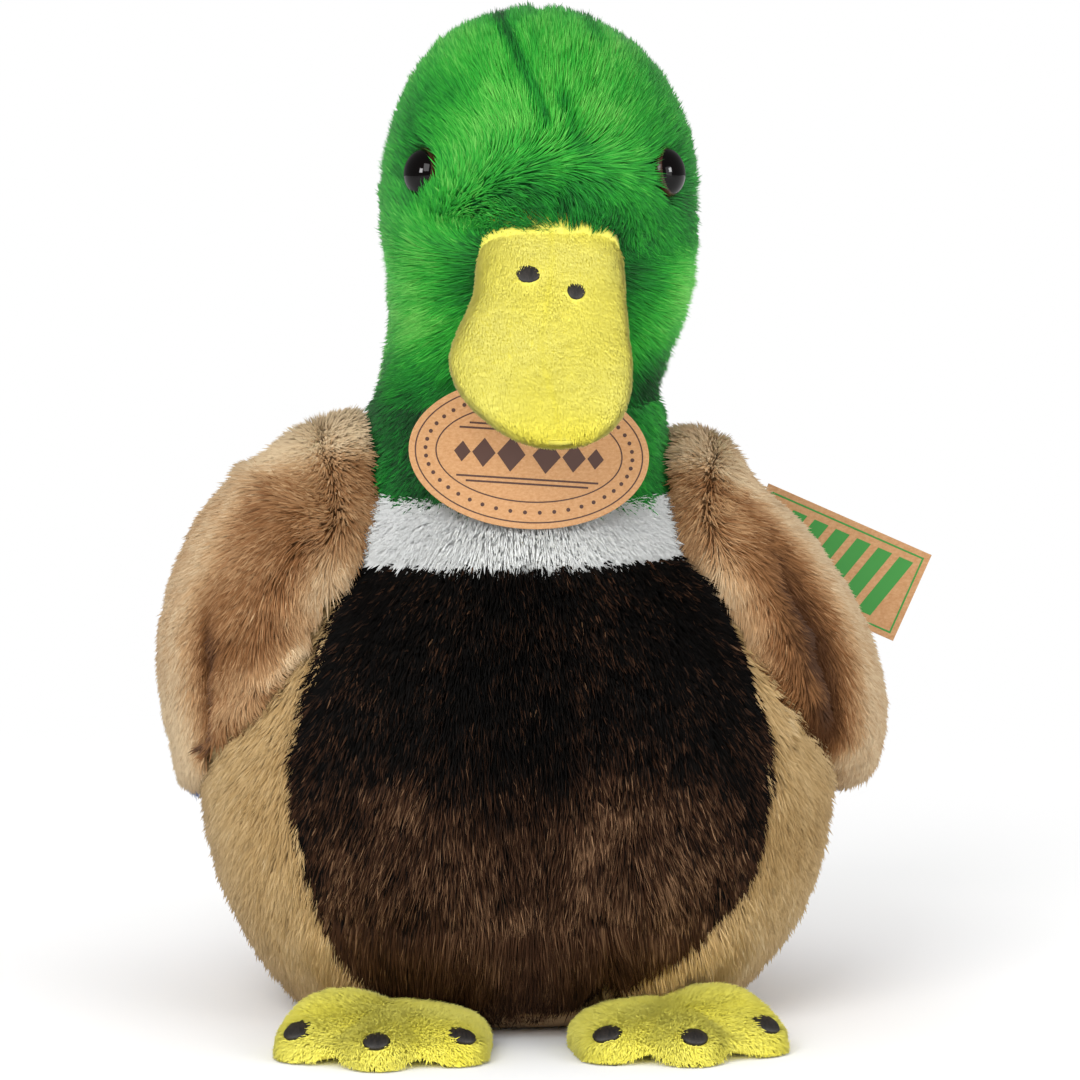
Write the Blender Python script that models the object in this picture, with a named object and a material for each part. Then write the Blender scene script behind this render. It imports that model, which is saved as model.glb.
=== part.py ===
# A stuffed mallard drake that sits upright on its flat base with two webbed feet in front.
# Metres, +Z up, bill towards -Y, the duck's own left side at +X, origin at the centre of the base.
# Angles run round the body from the breast (0) to the duck's left side (90) and its back (180).

import math

import bmesh
import bpy
import numpy as np

MM = 0.001

# Cloth and clearances
LONG_CLOTH = 4.0 * MM
SHORT_CLOTH = 2.0 * MM
SEAM_GAP = 0.3 * MM
FIT_GAP = 0.6 * MM
SIDE_STEPS = 28
PANEL_ROWS = 9

# Body, from the floor to the top of the neck
BODY_HEIGHT = 130.0 * MM
BODY_HALF_WIDTH = 67.0 * MM
BODY_FRONT = 60.0 * MM
BODY_BACK = 70.0 * MM
BASE_SEAM_HEIGHT = 5.0 * MM
BASE_SEAM_GAP = 0.7 * MM
NECK_COVER_HEIGHT = 19.5 * MM
RING_WIDTH = 11.5 * MM
RING_HIGH = BODY_HEIGHT - NECK_COVER_HEIGHT
RING_LOW = RING_HIGH - RING_WIDTH
BACK_SEAM_ANGLE = math.radians(118)

# Each row: height, half width, depth in front, depth behind and lean to the left,
# as shares of the form's own sizes
BODY_ROW_SHARES = (
    (0.000, 0.560, 0.520, 0.580, 0.0),
    (0.023, 0.685, 0.640, 0.690, 0.0),
    (0.061, 0.768, 0.755, 0.790, 0.0),
    (0.115, 0.850, 0.855, 0.875, 0.0),
    (0.183, 0.922, 0.932, 0.945, 0.0),
    (0.275, 0.976, 0.988, 0.990, 0.0),
    (0.382, 1.000, 1.000, 1.000, 0.0),
    (0.489, 0.978, 0.967, 0.971, 0.0),
    (0.595, 0.893, 0.892, 0.886, 0.0),
    (0.687, 0.765, 0.783, 0.771, 0.0),
    (0.748, 0.647, 0.705, 0.685, 0.0),
    (0.794, 0.577, 0.650, 0.600, 0.0),
    (0.848, 0.528, 0.605, 0.529, 0.0),
    (0.920, 0.479, 0.560, 0.465, 0.0),
    (1.000, 0.450, 0.525, 0.425, 0.0),
)

# Half width of the breast panel as a share of the body's, by share of the body's height
BREAST_SHARES = (
    (0.00, 0.38),
    (0.04, 0.51),
    (0.10, 0.61),
    (0.17, 0.67),
    (0.27, 0.71),
    (0.40, 0.74),
    (0.56, 0.75),
    (0.64, 0.76),
    (0.72, 0.80),
    (0.78, 0.86),
)

# Head, from the neck seam to the crown
HEAD_HEIGHT = 80.5 * MM
HEAD_HALF_WIDTH = 33.3 * MM
HEAD_FRONT = 41.5 * MM
HEAD_BACK = 36.5 * MM
HEAD_LEAN = 4.6 * MM
HEAD_ROW_SHARES = (
    (0.000, 0.900, 0.760, 0.815, 0.00),
    (0.085, 0.901, 0.810, 0.845, 0.10),
    (0.180, 0.928, 0.885, 0.900, 0.50),
    (0.300, 0.975, 0.960, 0.970, 0.90),
    (0.425, 1.000, 1.000, 1.000, 1.00),
    (0.545, 0.990, 0.985, 1.000, 1.00),
    (0.655, 0.945, 0.925, 0.960, 1.00),
    (0.755, 0.860, 0.825, 0.870, 1.00),
    (0.845, 0.735, 0.695, 0.745, 1.00),
    (0.915, 0.580, 0.540, 0.585, 1.00),
    (0.965, 0.385, 0.360, 0.390, 1.00),
    (0.992, 0.190, 0.180, 0.195, 1.00),
    (1.000, 0.000, 0.000, 0.000, 1.00),
)
HEAD_ROWS = 10
NECK_PIVOT_DROP = 13.0 * MM
NECK_PIVOT_HEIGHT = BODY_HEIGHT - NECK_PIVOT_DROP

# Pellet bag in the bottom of the body, for a steady seat
BAG_RADIUS = 28.0 * MM
BAG_HEIGHT = 20.0 * MM
BAG_SHARES = ((0.80, 0.0), (1.0, 0.28), (0.93, 0.62), (0.60, 0.92))

# Bill, along its own axis from inside the face to the tip
BILL_LENGTH = 50.5 * MM
BILL_HALF_WIDTH = 18.4 * MM
BILL_RISE = 9.0 * MM
BILL_DROP = 11.0 * MM
BILL_ROOT_FRONT = 35.0 * MM
BILL_ROOT_RISE = 30.4 * MM
BILL_SLOPE = math.radians(46)
# Share of the length, then of the half width, of the rise and of the drop
BILL_SHARES = (
    (0.00, 0.82, 1.00, 1.00),
    (0.25, 0.84, 0.80, 0.84),
    (0.45, 0.93, 0.62, 0.74),
    (0.62, 1.00, 0.52, 0.70),
    (0.76, 0.94, 0.47, 0.68),
    (0.88, 0.76, 0.40, 0.58),
    (0.96, 0.47, 0.27, 0.38),
    (1.00, 0.00, 0.00, 0.00),
)

# Rings of the closed end that bill and tail turn to the form they grow from
CAP_SHARES = (0.35, 0.7)
CAP_MIDDLE_SHARE = 0.4

# Eyes: a plastic dome on a shank, held inside the head by a washer
EYE_RADIUS = 5.2 * MM
EYE_RISE = 3.4 * MM
EYE_SINK = 2.0 * MM
EYE_ABOVE_NECK = 46.9 * MM
EYE_ANGLE = math.radians(55)
EYE_CLEARANCE = 0.4 * MM
SHANK_RADIUS = 1.6 * MM
SHANK_LENGTH = 10.0 * MM
WASHER_RADIUS = 6.0 * MM
WASHER_THICKNESS = 1.2 * MM
WASHER_DROP = 0.9 * MM
EYE_STEPS = 16

# Wings, laid on the body's sides
WING_FRONT_ANGLE = math.radians(54)
WING_REAR_ANGLE = math.radians(143)
WING_LOW = 45.0 * MM
WING_HEIGHT = 77.0 * MM
WING_BULGE = 4.0 * MM
WING_LEFT_SHOULDER_BULGE = 6.5 * MM
WING_RIGHT_SHOULDER_BULGE = 15.0 * MM
WING_CREST_SHARE = 0.7
WING_CLEARANCE = 1.0 * MM
WING_FILL_GAP = 0.8 * MM
WING_SHOULDER_HEIGHT = 100.0 * MM
WING_SHOULDER_LIFT = 1.5 * MM
WING_HINGE_OUT = 35.0 * MM
WING_HINGE_HEIGHT = 123.0 * MM
WING_STRIPE_SHARES = (0.60, 0.73)
# Each row: share of the way from front to rear, then the lower and upper edge as shares of height
WING_EDGE_SHARES = (
    (0.00, 0.44, 0.62),
    (0.05, 0.28, 0.76),
    (0.14, 0.17, 0.88),
    (0.26, 0.10, 0.96),
    (0.40, 0.05, 1.00),
    (0.55, 0.01, 0.93),
    (0.70, 0.00, 0.78),
    (0.85, 0.02, 0.58),
    (0.95, 0.06, 0.38),
    (1.00, 0.12, 0.24),
)

# Tail, along its own axis from inside the back to the tip
TAIL_LENGTH = 44.0 * MM
TAIL_HALF_WIDTH = 20.0 * MM
TAIL_RISE = 7.5 * MM
TAIL_ROOT_BACK = 62.0 * MM
TAIL_ROOT_HEIGHT = 50.0 * MM
TAIL_SLOPE = math.radians(24)
TAIL_SHARES = (
    (0.00, 1.00, 1.00),
    (0.30, 0.97, 0.92),
    (0.60, 0.80, 0.78),
    (0.80, 0.58, 0.62),
    (0.93, 0.32, 0.42),
    (1.00, 0.00, 0.00),
)

# Feet
FOOT_OUT = 29.0 * MM
FOOT_FRONT = 51.0 * MM
FOOT_REACH_FRONT = 17.0 * MM
FOOT_REACH_REAR = 13.5 * MM
FOOT_HALF_WIDTH = 21.5 * MM
FOOT_TOE_LENGTH = 5.5 * MM
FOOT_TOE_ANGLES = (math.radians(-60), 0.0, math.radians(60))
FOOT_TOE_SPREAD = math.radians(19)
FOOT_TOE_HEIGHT = 9.5 * MM
FOOT_HEEL_HEIGHT = 19.0 * MM
FOOT_LOOK_UP = 27.0 * MM
FOOT_RIM = 3.0 * MM
FOOT_FLOOR_GAP = 0.2 * MM
FOOT_CLEARANCE = 0.6 * MM
FOOT_HINGE_HEIGHT = 1.2 * MM
FOOT_STEPS = 36

# Hang cards on plastic pins
CARD_THICKNESS = 0.6 * MM
PIN_RADIUS = 0.5 * MM
PIN_HEAD_RADIUS = 2.0 * MM
PIN_HEAD_THICKNESS = 0.7 * MM
PIN_HOLE_RADIUS = 1.0 * MM
PIN_STEPS = 10
NECK_CARD_HALF_WIDTH = 24.5 * MM
NECK_CARD_HALF_HEIGHT = 15.4 * MM
NECK_PIN_LENGTH = 8.5 * MM
NECK_PIN_DROP = 5.2 * MM
NECK_CARD_TILT = math.radians(-4)
NECK_CARD_HOLE_UP = 4.3 * MM
NECK_CARD_STEPS = 40
SIDE_CARD_WIDTH = 40.0 * MM
SIDE_CARD_HEIGHT = 21.0 * MM
SIDE_CARD_TILT = math.radians(-24)
SIDE_CARD_HOLE_IN = 3.0 * MM
SIDE_CARD_HOLE_UP = 3.0 * MM
SIDE_CARD_SIDE_STEPS = 6
SIDE_PIN_LENGTH = 6.5 * MM
SIDE_PIN_STEPS = (1, 6)

# Finishes: colour, roughness
FINISHES = {
    "green_plush": ((0.027, 0.342, 0.032), 0.9),
    "white_plush": ((0.79, 0.82, 0.81), 0.9),
    "dark_plush": ((0.024, 0.012, 0.008), 0.9),
    "tan_plush": ((0.47, 0.30, 0.12), 0.9),
    "brown_plush": ((0.33, 0.17, 0.08), 0.9),
    "feather_plush": ((0.20, 0.09, 0.045), 0.9),
    "blue_plush": ((0.04, 0.07, 0.20), 0.9),
    "yellow_plush": ((0.85, 0.78, 0.07), 0.85),
    "lining_cloth": ((0.45, 0.33, 0.20), 0.85),
    "fibre_fill": ((0.85, 0.85, 0.83), 1.0),
    "pellet_cloth": ((0.70, 0.70, 0.68), 0.8),
    "eye_plastic": ((0.01, 0.006, 0.005), 0.05),
    "washer_plastic": ((0.75, 0.75, 0.75), 0.4),
    "kraft_card": ((0.53, 0.29, 0.10), 0.75),
    "clear_plastic": ((0.80, 0.80, 0.80), 0.3),
}


# A smooth curve through the rows of a table; place counts rows, so 1.5 is halfway past row 1
def along_rows(rows, place, pole=False):
    table = np.asarray(rows, float)
    before = 2 * table[0] - table[1]
    after = 2 * table[-1] - table[-2]
    if pole:
        after = table[-2] * np.array([1.0, -1.0, -1.0, -1.0, 1.0])
    table = np.vstack([before, table, after])
    place = np.clip(np.asarray(place, float), 0, len(rows) - 1)
    start = np.minimum(place.astype(int), len(rows) - 2)
    part = (place - start)[..., None]
    p0, p1, p2, p3 = (table[start + step] for step in range(4))
    return 0.5 * (2 * p1 + (p2 - p0) * part
                  + (2 * p0 - 5 * p1 + 4 * p2 - p3) * part ** 2
                  + (3 * p1 - 3 * p2 + p3 - p0) * part ** 3)


# The columns of a table read at a value of its first column
def at_share(rows, value):
    places = np.linspace(0, len(rows) - 1, 40 * len(rows))
    curve = along_rows(rows, places)
    return along_rows(rows, np.interp(value, curve[:, 0], places))


# A stuffed form: level sections, half an ellipse in front and half behind, stacked on a floor
class Form:
    def __init__(self, rows, floor, height, half_width, front, back, lean, pole):
        self.rows = rows
        self.floor = floor
        self.sizes = np.array([height, half_width, front, back, lean])
        self.pole = pole
        self.last = len(rows) - 1
        self.places = np.linspace(0, self.last, 60 * len(rows))
        self.heights = self.section(self.places)[:, 0]

    def section(self, place):
        row = along_rows(self.rows, place, self.pole) * self.sizes
        row[..., 0] += self.floor
        return row

    def place_at(self, height):
        return np.interp(height, self.heights, self.places)

    def skin(self, place, angle):
        place, angle = np.broadcast_arrays(place, angle)
        row = self.section(place)
        across = row[..., 4] + row[..., 1] * np.sin(angle)
        depth = np.where(np.cos(angle) > 0, row[..., 2], row[..., 3])
        return np.stack([across, -depth * np.cos(angle), row[..., 0]], axis=-1)

    def normal(self, place, angle):
        step = 0.02
        near = self.last - 2 * step if self.pole else self.last
        mid = np.clip(place, 0, near)
        up = self.skin(np.minimum(mid + step, self.last), angle) - self.skin(mid - step, angle)
        round_way = self.skin(mid, angle + step) - self.skin(mid, angle - step)
        out = np.cross(round_way, up)
        return out / np.linalg.norm(out, axis=-1, keepdims=True)

    # Points on the skin, moved out by a distance, or in where it is negative
    def points(self, place, angle, out=0.0):
        place, angle = np.broadcast_arrays(np.asarray(place, float), np.asarray(angle, float))
        push = np.asarray(out)[..., None] if np.ndim(out) else out
        moved = self.skin(place, angle) + self.normal(place, angle) * push
        if self.pole:
            top = self.skin(place, angle) + np.array([0, 0, 1.0]) * push
            moved = np.where((place >= self.last)[..., None], top, moved)
        return moved

    # Which points lie inside the form grown by a gap
    def holds(self, points, gap):
        held = np.zeros(points.shape[:-1], bool)
        for lift in (-gap, 0.0, gap):
            height = points[..., 2] + lift
            row = self.section(self.place_at(height))
            depth = np.where(points[..., 1] < 0, row[..., 2], row[..., 3]) + gap
            wide = (points[..., 0] - row[..., 4]) / (row[..., 1] + gap)
            near = wide ** 2 + (points[..., 1] / depth) ** 2 < 1
            held |= near & (height > self.floor) & (height < self.heights[-1])
        return held


BODY = Form(BODY_ROW_SHARES, 0.0, BODY_HEIGHT, BODY_HALF_WIDTH, BODY_FRONT, BODY_BACK, 0.0, False)
HEAD = Form(HEAD_ROW_SHARES, BODY_HEIGHT + SEAM_GAP, HEAD_HEIGHT, HEAD_HALF_WIDTH, HEAD_FRONT,
            HEAD_BACK, HEAD_LEAN, True)


# How far each point can travel one way and still be clear of a form grown by a gap
def travel_to(form, points, way, reach, gap):
    steps = np.linspace(0, reach, 121)
    paths = points[..., None, :] + steps[:, None] * way
    met = form.holds(paths, gap)
    first = np.maximum(np.argmax(met, axis=-1) - 1, 0)
    return np.where(met.any(axis=-1), steps[first], reach)


def make_material(name):
    colour, roughness = FINISHES[name]
    material = bpy.data.materials.new(name)
    material.use_nodes = True
    shader = material.node_tree.nodes["Principled BSDF"]
    shader.inputs["Base Color"].default_value = (*colour, 1)
    shader.inputs["Roughness"].default_value = roughness
    shader.inputs["Metallic"].default_value = 0.0
    return material


# One closed solid as an object, with its origin on the pivot that it turns about
def add_piece(name, points, faces, finish, pivot=None, split="BEAUTY"):
    mesh = bpy.data.meshes.new(name)
    points = np.asarray(points).reshape(-1, 3)
    if pivot:
        points = points - np.array(pivot.location)
    mesh.from_pydata(points.tolist(), [], faces)
    shape = bmesh.new()
    shape.from_mesh(mesh)
    bmesh.ops.remove_doubles(shape, verts=shape.verts, dist=SEAM_GAP / 100)
    bmesh.ops.dissolve_degenerate(shape, edges=shape.edges, dist=SEAM_GAP / 100)
    bmesh.ops.triangulate(shape, faces=shape.faces, quad_method=split)
    bmesh.ops.recalc_face_normals(shape, faces=shape.faces)
    shape.to_mesh(mesh)
    shape.free()
    mesh.shade_smooth()
    mesh.set_sharp_from_angle(angle=math.radians(40))
    piece = bpy.data.objects.new(name, mesh)
    bpy.context.scene.collection.objects.link(piece)
    if finish:
        mesh.materials.append(bpy.data.materials.get(finish) or make_material(finish))
    piece.parent = pivot
    return piece


def add_pivot(name, place):
    pivot = bpy.data.objects.new(name, None)
    pivot.location = place
    bpy.context.scene.collection.objects.link(pivot)
    return pivot


# A sheet with thickness: an outer and an inner grid of points, joined round their edges
def add_sheet(name, outer, inner, finish, pivot=None, closed=False, split="BEAUTY"):
    rows, columns = outer.shape[:2]
    count = rows * columns
    faces = []
    spans = columns if closed else columns - 1
    for row in range(rows - 1):
        for column in range(spans):
            here = row * columns + column
            beside = row * columns + (column + 1) % columns
            faces.append((here, beside, beside + columns, here + columns))
            inside = (here, here + columns, beside + columns, beside)
            faces.append(tuple(count + corner for corner in inside))
    for start in (0, count - columns):
        for column in range(spans):
            here = start + column
            beside = start + (column + 1) % columns
            faces.append((here, beside, beside + count, here + count))
    if not closed:
        for start in (0, columns - 1):
            for row in range(rows - 1):
                here = start + row * columns
                faces.append((here, here + columns, here + columns + count, here + count))
    points = np.vstack([outer.reshape(-1, 3), inner.reshape(-1, 3)])
    return add_piece(name, points, faces, finish, pivot, split)


# A solid lofted through closed rings of points, from a first pole to a last one
def add_loft(name, first, rings, last, finish, pivot=None):
    steps = len(rings[0])
    points = np.vstack([[first], *rings, [last]])
    faces = []
    for step in range(steps):
        beside = (step + 1) % steps
        faces.append((0, 1 + step, 1 + beside))
        end = 1 + (len(rings) - 1) * steps
        faces.append((end + beside, end + step, len(points) - 1))
        for ring in range(len(rings) - 1):
            start = 1 + ring * steps
            faces.append((start + step, start + steps + step, start + steps + beside, start + beside))
    return add_piece(name, points, faces, finish, pivot)


# Rings turned about an axis from (radius, distance along the axis) pairs
def turned(profile, origin, axis, steps):
    axis = axis / np.linalg.norm(axis)
    side = np.cross(axis, [0.0, 0.0, 1.0])
    side /= np.linalg.norm(side)
    other = np.cross(axis, side)
    turns = np.linspace(0, 2 * math.pi, steps, endpoint=False)[:, None]
    spokes = np.cos(turns) * side + np.sin(turns) * other
    return [origin + axis * along + spokes * radius for radius, along in profile]


def add_turned(name, profile, origin, axis, steps, finish, pivot=None):
    rings = turned(profile[1:-1], origin, axis, steps)
    ends = [turned(profile[at:at + 1 or None], origin, axis, 3)[0].mean(axis=0) for at in (0, -1)]
    return add_loft(name, ends[0], rings, ends[1], finish, pivot)


def cut(piece, cutter):
    cutter.hide_render = True
    cutter.display_type = "WIRE"
    knife = piece.modifiers.new("cut", "BOOLEAN")
    knife.operation = "DIFFERENCE"
    knife.object = cutter


# Angle of the seam between breast and flank at each height
def breast_seam(height):
    share = at_share(BREAST_SHARES, height / BODY_HEIGHT)[..., 1]
    return np.arcsin(share)


# One panel of the body between two seams, given as angles by row
def add_panel(name, rows, left, right, columns, finish):
    width = np.linspace(0, 1, columns)[None, :]
    half_gap = SEAM_GAP / 2 / BODY_HALF_WIDTH
    left = left[:, None] + half_gap
    right = right[:, None] - half_gap
    angle = left + (right - left) * width
    place = np.broadcast_to(rows[:, None], angle.shape)
    outer = BODY.points(place, angle)
    inner = BODY.points(place, angle, -LONG_CLOTH)
    return add_sheet(name, outer, inner, finish)


def body_rows(low, high, count):
    return np.linspace(BODY.place_at(low), BODY.place_at(high), count)


def ring_angles(steps):
    return np.linspace(0, 2 * math.pi, steps, endpoint=False)


# A band of cloth all round the body between two heights
def add_band(name, low, high, count, finish, pivot=None):
    place = body_rows(low, high, count)[:, None]
    angle = ring_angles(SIDE_STEPS)[None, :]
    outer = BODY.points(place, angle)
    inner = BODY.points(place, angle, -LONG_CLOTH)
    # Level edges, so that the bands can turn on each other
    inner[0, :, 2] = low
    inner[-1, :, 2] = high
    return add_sheet(name, outer, inner, finish, pivot, closed=True)


def bag_rings(grow, floor):
    angle = ring_angles(SIDE_STEPS)
    flat = np.stack([np.sin(angle), -np.cos(angle), np.zeros(SIDE_STEPS)], axis=-1)
    rings = []
    for wide_share, high_share in BAG_SHARES:
        height = floor + BAG_HEIGHT * high_share + (grow if high_share > 0.5 else 0)
        rings.append(flat * (BAG_RADIUS * wide_share + grow) + np.array([0, 0, height]))
    return rings, np.array([0, 0, floor + BAG_HEIGHT + grow])


def build_base_and_filling():
    angle = ring_angles(SIDE_STEPS)
    rim = BODY.points(0.0, angle)
    rim_in = rim * (1 - LONG_CLOTH / BODY_FRONT) + np.array([0, 0, LONG_CLOTH])
    middle = np.array([0.0, 0.0, 0.0])
    middle_in = np.array([0.0, 0.0, LONG_CLOTH])
    sides = body_rows(0.0, BASE_SEAM_HEIGHT - BASE_SEAM_GAP / 2, 3)[1:]
    outer = [BODY.points(place, angle) for place in sides]
    inner = [BODY.points(place, angle, -LONG_CLOTH) for place in sides[::-1]]
    half = np.array([0.5, 0.5, 1.0])
    rings = [rim * half, rim, *outer, *inner, rim_in, rim_in * half]
    add_loft("base_panel", middle, rings, middle_in, "tan_plush")

    floor = LONG_CLOTH + FIT_GAP
    bag, bag_top = bag_rings(0.0, floor)
    add_loft("pellet_bag", np.array([0, 0, floor]), bag, bag_top, "pellet_cloth")

    depth = LONG_CLOTH + FIT_GAP
    top = RING_HIGH - SEAM_GAP / 2
    places = np.concatenate([body_rows(BASE_SEAM_HEIGHT, RING_LOW, PANEL_ROWS),
                             body_rows(RING_LOW, RING_HIGH, 3)[1:]])
    walls = [BODY.points(place, angle, -depth) for place in places[::-1]]
    walls[0][:, 2] = top
    foot = rim * (1 - depth / BODY_FRONT) + np.array([0, 0, depth + SEAM_GAP])
    crown = walls[0] * half
    hollow, hollow_top = bag_rings(FIT_GAP, floor)
    mouth = hollow[1] * np.array([1, 1, 0]) + np.array([0, 0, depth + SEAM_GAP])
    rings = [crown, *walls, foot, mouth, *hollow[1:]]
    add_loft("body_stuffing", np.array([0, 0, top]), rings, hollow_top, "fibre_fill")


def build_body_panels():
    rows = body_rows(BASE_SEAM_HEIGHT + BASE_SEAM_GAP / 2, RING_LOW - SEAM_GAP / 2, PANEL_ROWS)
    seam = breast_seam(BODY.section(rows)[:, 0])
    back = np.full(PANEL_ROWS, BACK_SEAM_ANGLE)
    middle = np.full(PANEL_ROWS, math.pi)
    add_panel("breast_panel", rows, -seam, seam, 11, "dark_plush")
    add_panel("flank_left", rows, seam, back, 6, "tan_plush")
    add_panel("flank_right", rows, -back, -seam, 6, "tan_plush")
    add_panel("back_left", rows, back, middle, 7, "brown_plush")
    add_panel("back_right", rows, -middle, -back, 7, "brown_plush")
    add_band("neck_ring", RING_LOW + SEAM_GAP / 2, RING_HIGH - SEAM_GAP / 2, 3, "white_plush")


def build_neck(pivot):
    low = RING_HIGH + SEAM_GAP / 2
    add_band("neck_cover", low, BODY_HEIGHT, 4, "green_plush", pivot)
    angle = ring_angles(SIDE_STEPS)
    walls = [BODY.points(place, angle, -LONG_CLOTH - FIT_GAP)
             for place in body_rows(low, BODY_HEIGHT, 4)]
    walls[0][:, 2] = low
    walls[-1][:, 2] = BODY_HEIGHT
    half = np.array([0.5, 0.5, 1.0])
    rings = [walls[0] * half, *walls, walls[-1] * half]
    add_loft("neck_stuffing", np.array([0, 0, low]), rings, np.array([0, 0, BODY_HEIGHT]),
             "fibre_fill", pivot)


def build_head(pivot):
    floor = HEAD.floor
    places = np.linspace(0, HEAD.last, HEAD_ROWS)[:, None]
    for side, name in ((1, "head_cover_left"), (-1, "head_cover_right")):
        angle = side * np.linspace(0, math.pi, SIDE_STEPS // 2 + 1)[None, :]
        outer = HEAD.points(places, angle)
        inner = HEAD.points(places, angle, -LONG_CLOTH)
        inner[0, :, 2] = floor
        apart = np.array([side * SEAM_GAP / 2, 0, 0])
        half = add_sheet(name, outer + apart, inner + apart, "green_plush", pivot)
        cut(half, add_eye_socket(side, pivot))

    angle = ring_angles(SIDE_STEPS)
    walls = [HEAD.points(place, angle, -LONG_CLOTH - FIT_GAP) for place in places[:-1, 0]]
    walls[0][:, 2] = floor
    middle = np.array([0, 0, floor])
    base = middle + (walls[0] - middle) * 0.5
    top = HEAD.points(HEAD.last, 0.0, -LONG_CLOTH - FIT_GAP)
    filling = add_loft("head_stuffing", middle, [base, *walls], top, "fibre_fill", pivot)
    for side in (1, -1):
        cut(filling, add_eye_pocket(side, pivot))
        add_eye(side, pivot)


def eye_seat(side):
    place = HEAD.place_at(HEAD.floor + EYE_ABOVE_NECK)
    return HEAD.points(place, side * EYE_ANGLE), HEAD.normal(place, side * EYE_ANGLE)


# Distances along the eye's axis, from the pile's surface: its back, and the washer's two faces
EYE_BACK = -EYE_SINK
WASHER_OUT = -LONG_CLOTH - WASHER_DROP
WASHER_IN = WASHER_OUT - WASHER_THICKNESS


# Hollow in the pile for the dome, and a hole through the cloth for the shank
def add_eye_socket(side, pivot):
    seat, out = eye_seat(side)
    back = EYE_BACK - SEAM_GAP
    wide = EYE_RADIUS + EYE_CLEARANCE
    hole = SHANK_RADIUS + SEAM_GAP
    profile = [(0, EYE_RISE), (wide, EYE_RISE), (wide, back), (hole, back), (hole, WASHER_IN),
               (0, WASHER_IN)]
    return add_turned(f"eye_socket_{side}", profile, seat, out, EYE_STEPS, None, pivot)


# Hollow in the head's filling for the washer and the shank's end
def add_eye_pocket(side, pivot):
    seat, out = eye_seat(side)
    wide = WASHER_RADIUS + EYE_CLEARANCE
    hole = SHANK_RADIUS + SEAM_GAP
    back = WASHER_IN - SEAM_GAP
    end = EYE_BACK - SHANK_LENGTH - SEAM_GAP
    profile = [(0, EYE_BACK), (wide, EYE_BACK), (wide, back), (hole, back), (hole, end), (0, end)]
    return add_turned(f"eye_pocket_{side}", profile, seat, out, EYE_STEPS, None, pivot)


def add_eye(side, pivot):
    seat, out = eye_seat(side)
    name = "left" if side > 0 else "right"
    dome = [(EYE_RADIUS * math.cos(turn), EYE_BACK + EYE_RISE * math.sin(turn))
            for turn in np.linspace(math.pi / 2, 0.0, 6)]
    end = EYE_BACK - SHANK_LENGTH
    profile = [*dome, (SHANK_RADIUS, EYE_BACK), (SHANK_RADIUS, end), (0, end)]
    add_turned(f"eye_{name}", profile, seat, out, EYE_STEPS, "eye_plastic", pivot)
    faces = (WASHER_OUT, WASHER_IN)
    outer = turned([(WASHER_RADIUS, face) for face in faces], seat, out, EYE_STEPS)
    inner = turned([(SHANK_RADIUS + SEAM_GAP, face) for face in faces], seat, out, EYE_STEPS)
    add_sheet(f"eye_washer_{name}", np.array(outer), np.array(inner), "washer_plastic", pivot,
              closed=True)


# The upper or lower half of a flat stuffed shape that grows out of a form along its own axis
def add_half(name, form, root, forward, up, length, half_width, rise, shares, finish, pivot):
    arc = np.linspace(0, math.pi, 9)
    flat = np.linspace(-1, 1, 6)[1:-1]
    across = np.concatenate([np.cos(arc), flat])
    tall = np.concatenate([np.sin(arc) ** 0.8, np.zeros(len(flat))])
    side = np.array([1.0, 0.0, 0.0])
    seam = up * SEAM_GAP / 2

    def ring(along, wide, high, shrink=1.0):
        level = CAP_MIDDLE_SHARE + (tall - CAP_MIDDLE_SHARE) * shrink
        return (root + seam + forward * along[:, None]
                + side * (across * wide * shrink)[:, None] + up * (level * high)[:, None])

    wide, high = at_share(shares, 0.0)[1:] * (half_width, rise)

    # Where each line back from the root meets the form
    def landed(shrink):
        start = ring(np.full(len(across), length / 2), wide, high, shrink)
        back = travel_to(form, start, -forward, length, FIT_GAP)
        return length / 2 - back

    first = ring(landed(0.0), wide, high, 0.0).mean(axis=0)
    rings = [ring(landed(shrink), wide, high, shrink) for shrink in CAP_SHARES]
    begin = landed(1.0)
    for share in np.sin(np.linspace(0, math.pi / 2, 11))[:-1]:
        along = begin + (length - begin) * share
        wide_share, high_share = at_share(shares, along.max() / length)[1:]
        rings.append(ring(along, half_width * wide_share, rise * high_share))
    last = root + seam + forward * length
    return add_loft(name, first, rings, last, finish, pivot)


def build_bill(pivot):
    root = np.array([HEAD_LEAN, -BILL_ROOT_FRONT, HEAD.floor + BILL_ROOT_RISE])
    forward = np.array([0, -math.cos(BILL_SLOPE), -math.sin(BILL_SLOPE)])
    up = np.array([0, -math.sin(BILL_SLOPE), math.cos(BILL_SLOPE)])
    upper = [(along, wide, rise) for along, wide, rise, _ in BILL_SHARES]
    lower = [(along, wide, drop) for along, wide, _, drop in BILL_SHARES]
    add_half("bill_upper", HEAD, root, forward, up, BILL_LENGTH, BILL_HALF_WIDTH, BILL_RISE,
             upper, "yellow_plush", pivot)
    add_half("bill_lower", HEAD, root, forward, -up, BILL_LENGTH, BILL_HALF_WIDTH, BILL_DROP,
             lower, "yellow_plush", pivot)


def build_tail(pivot):
    root = np.array([0, TAIL_ROOT_BACK, TAIL_ROOT_HEIGHT])
    forward = np.array([0, math.cos(TAIL_SLOPE), math.sin(TAIL_SLOPE)])
    up = np.array([0, -math.sin(TAIL_SLOPE), math.cos(TAIL_SLOPE)])
    add_half("tail_upper", BODY, root, forward, up, TAIL_LENGTH, TAIL_HALF_WIDTH, TAIL_RISE,
             TAIL_SHARES, "dark_plush", pivot)
    add_half("tail_lower", BODY, root, forward, -up, TAIL_LENGTH, TAIL_HALF_WIDTH, TAIL_RISE,
             TAIL_SHARES, "tan_plush", pivot)


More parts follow.
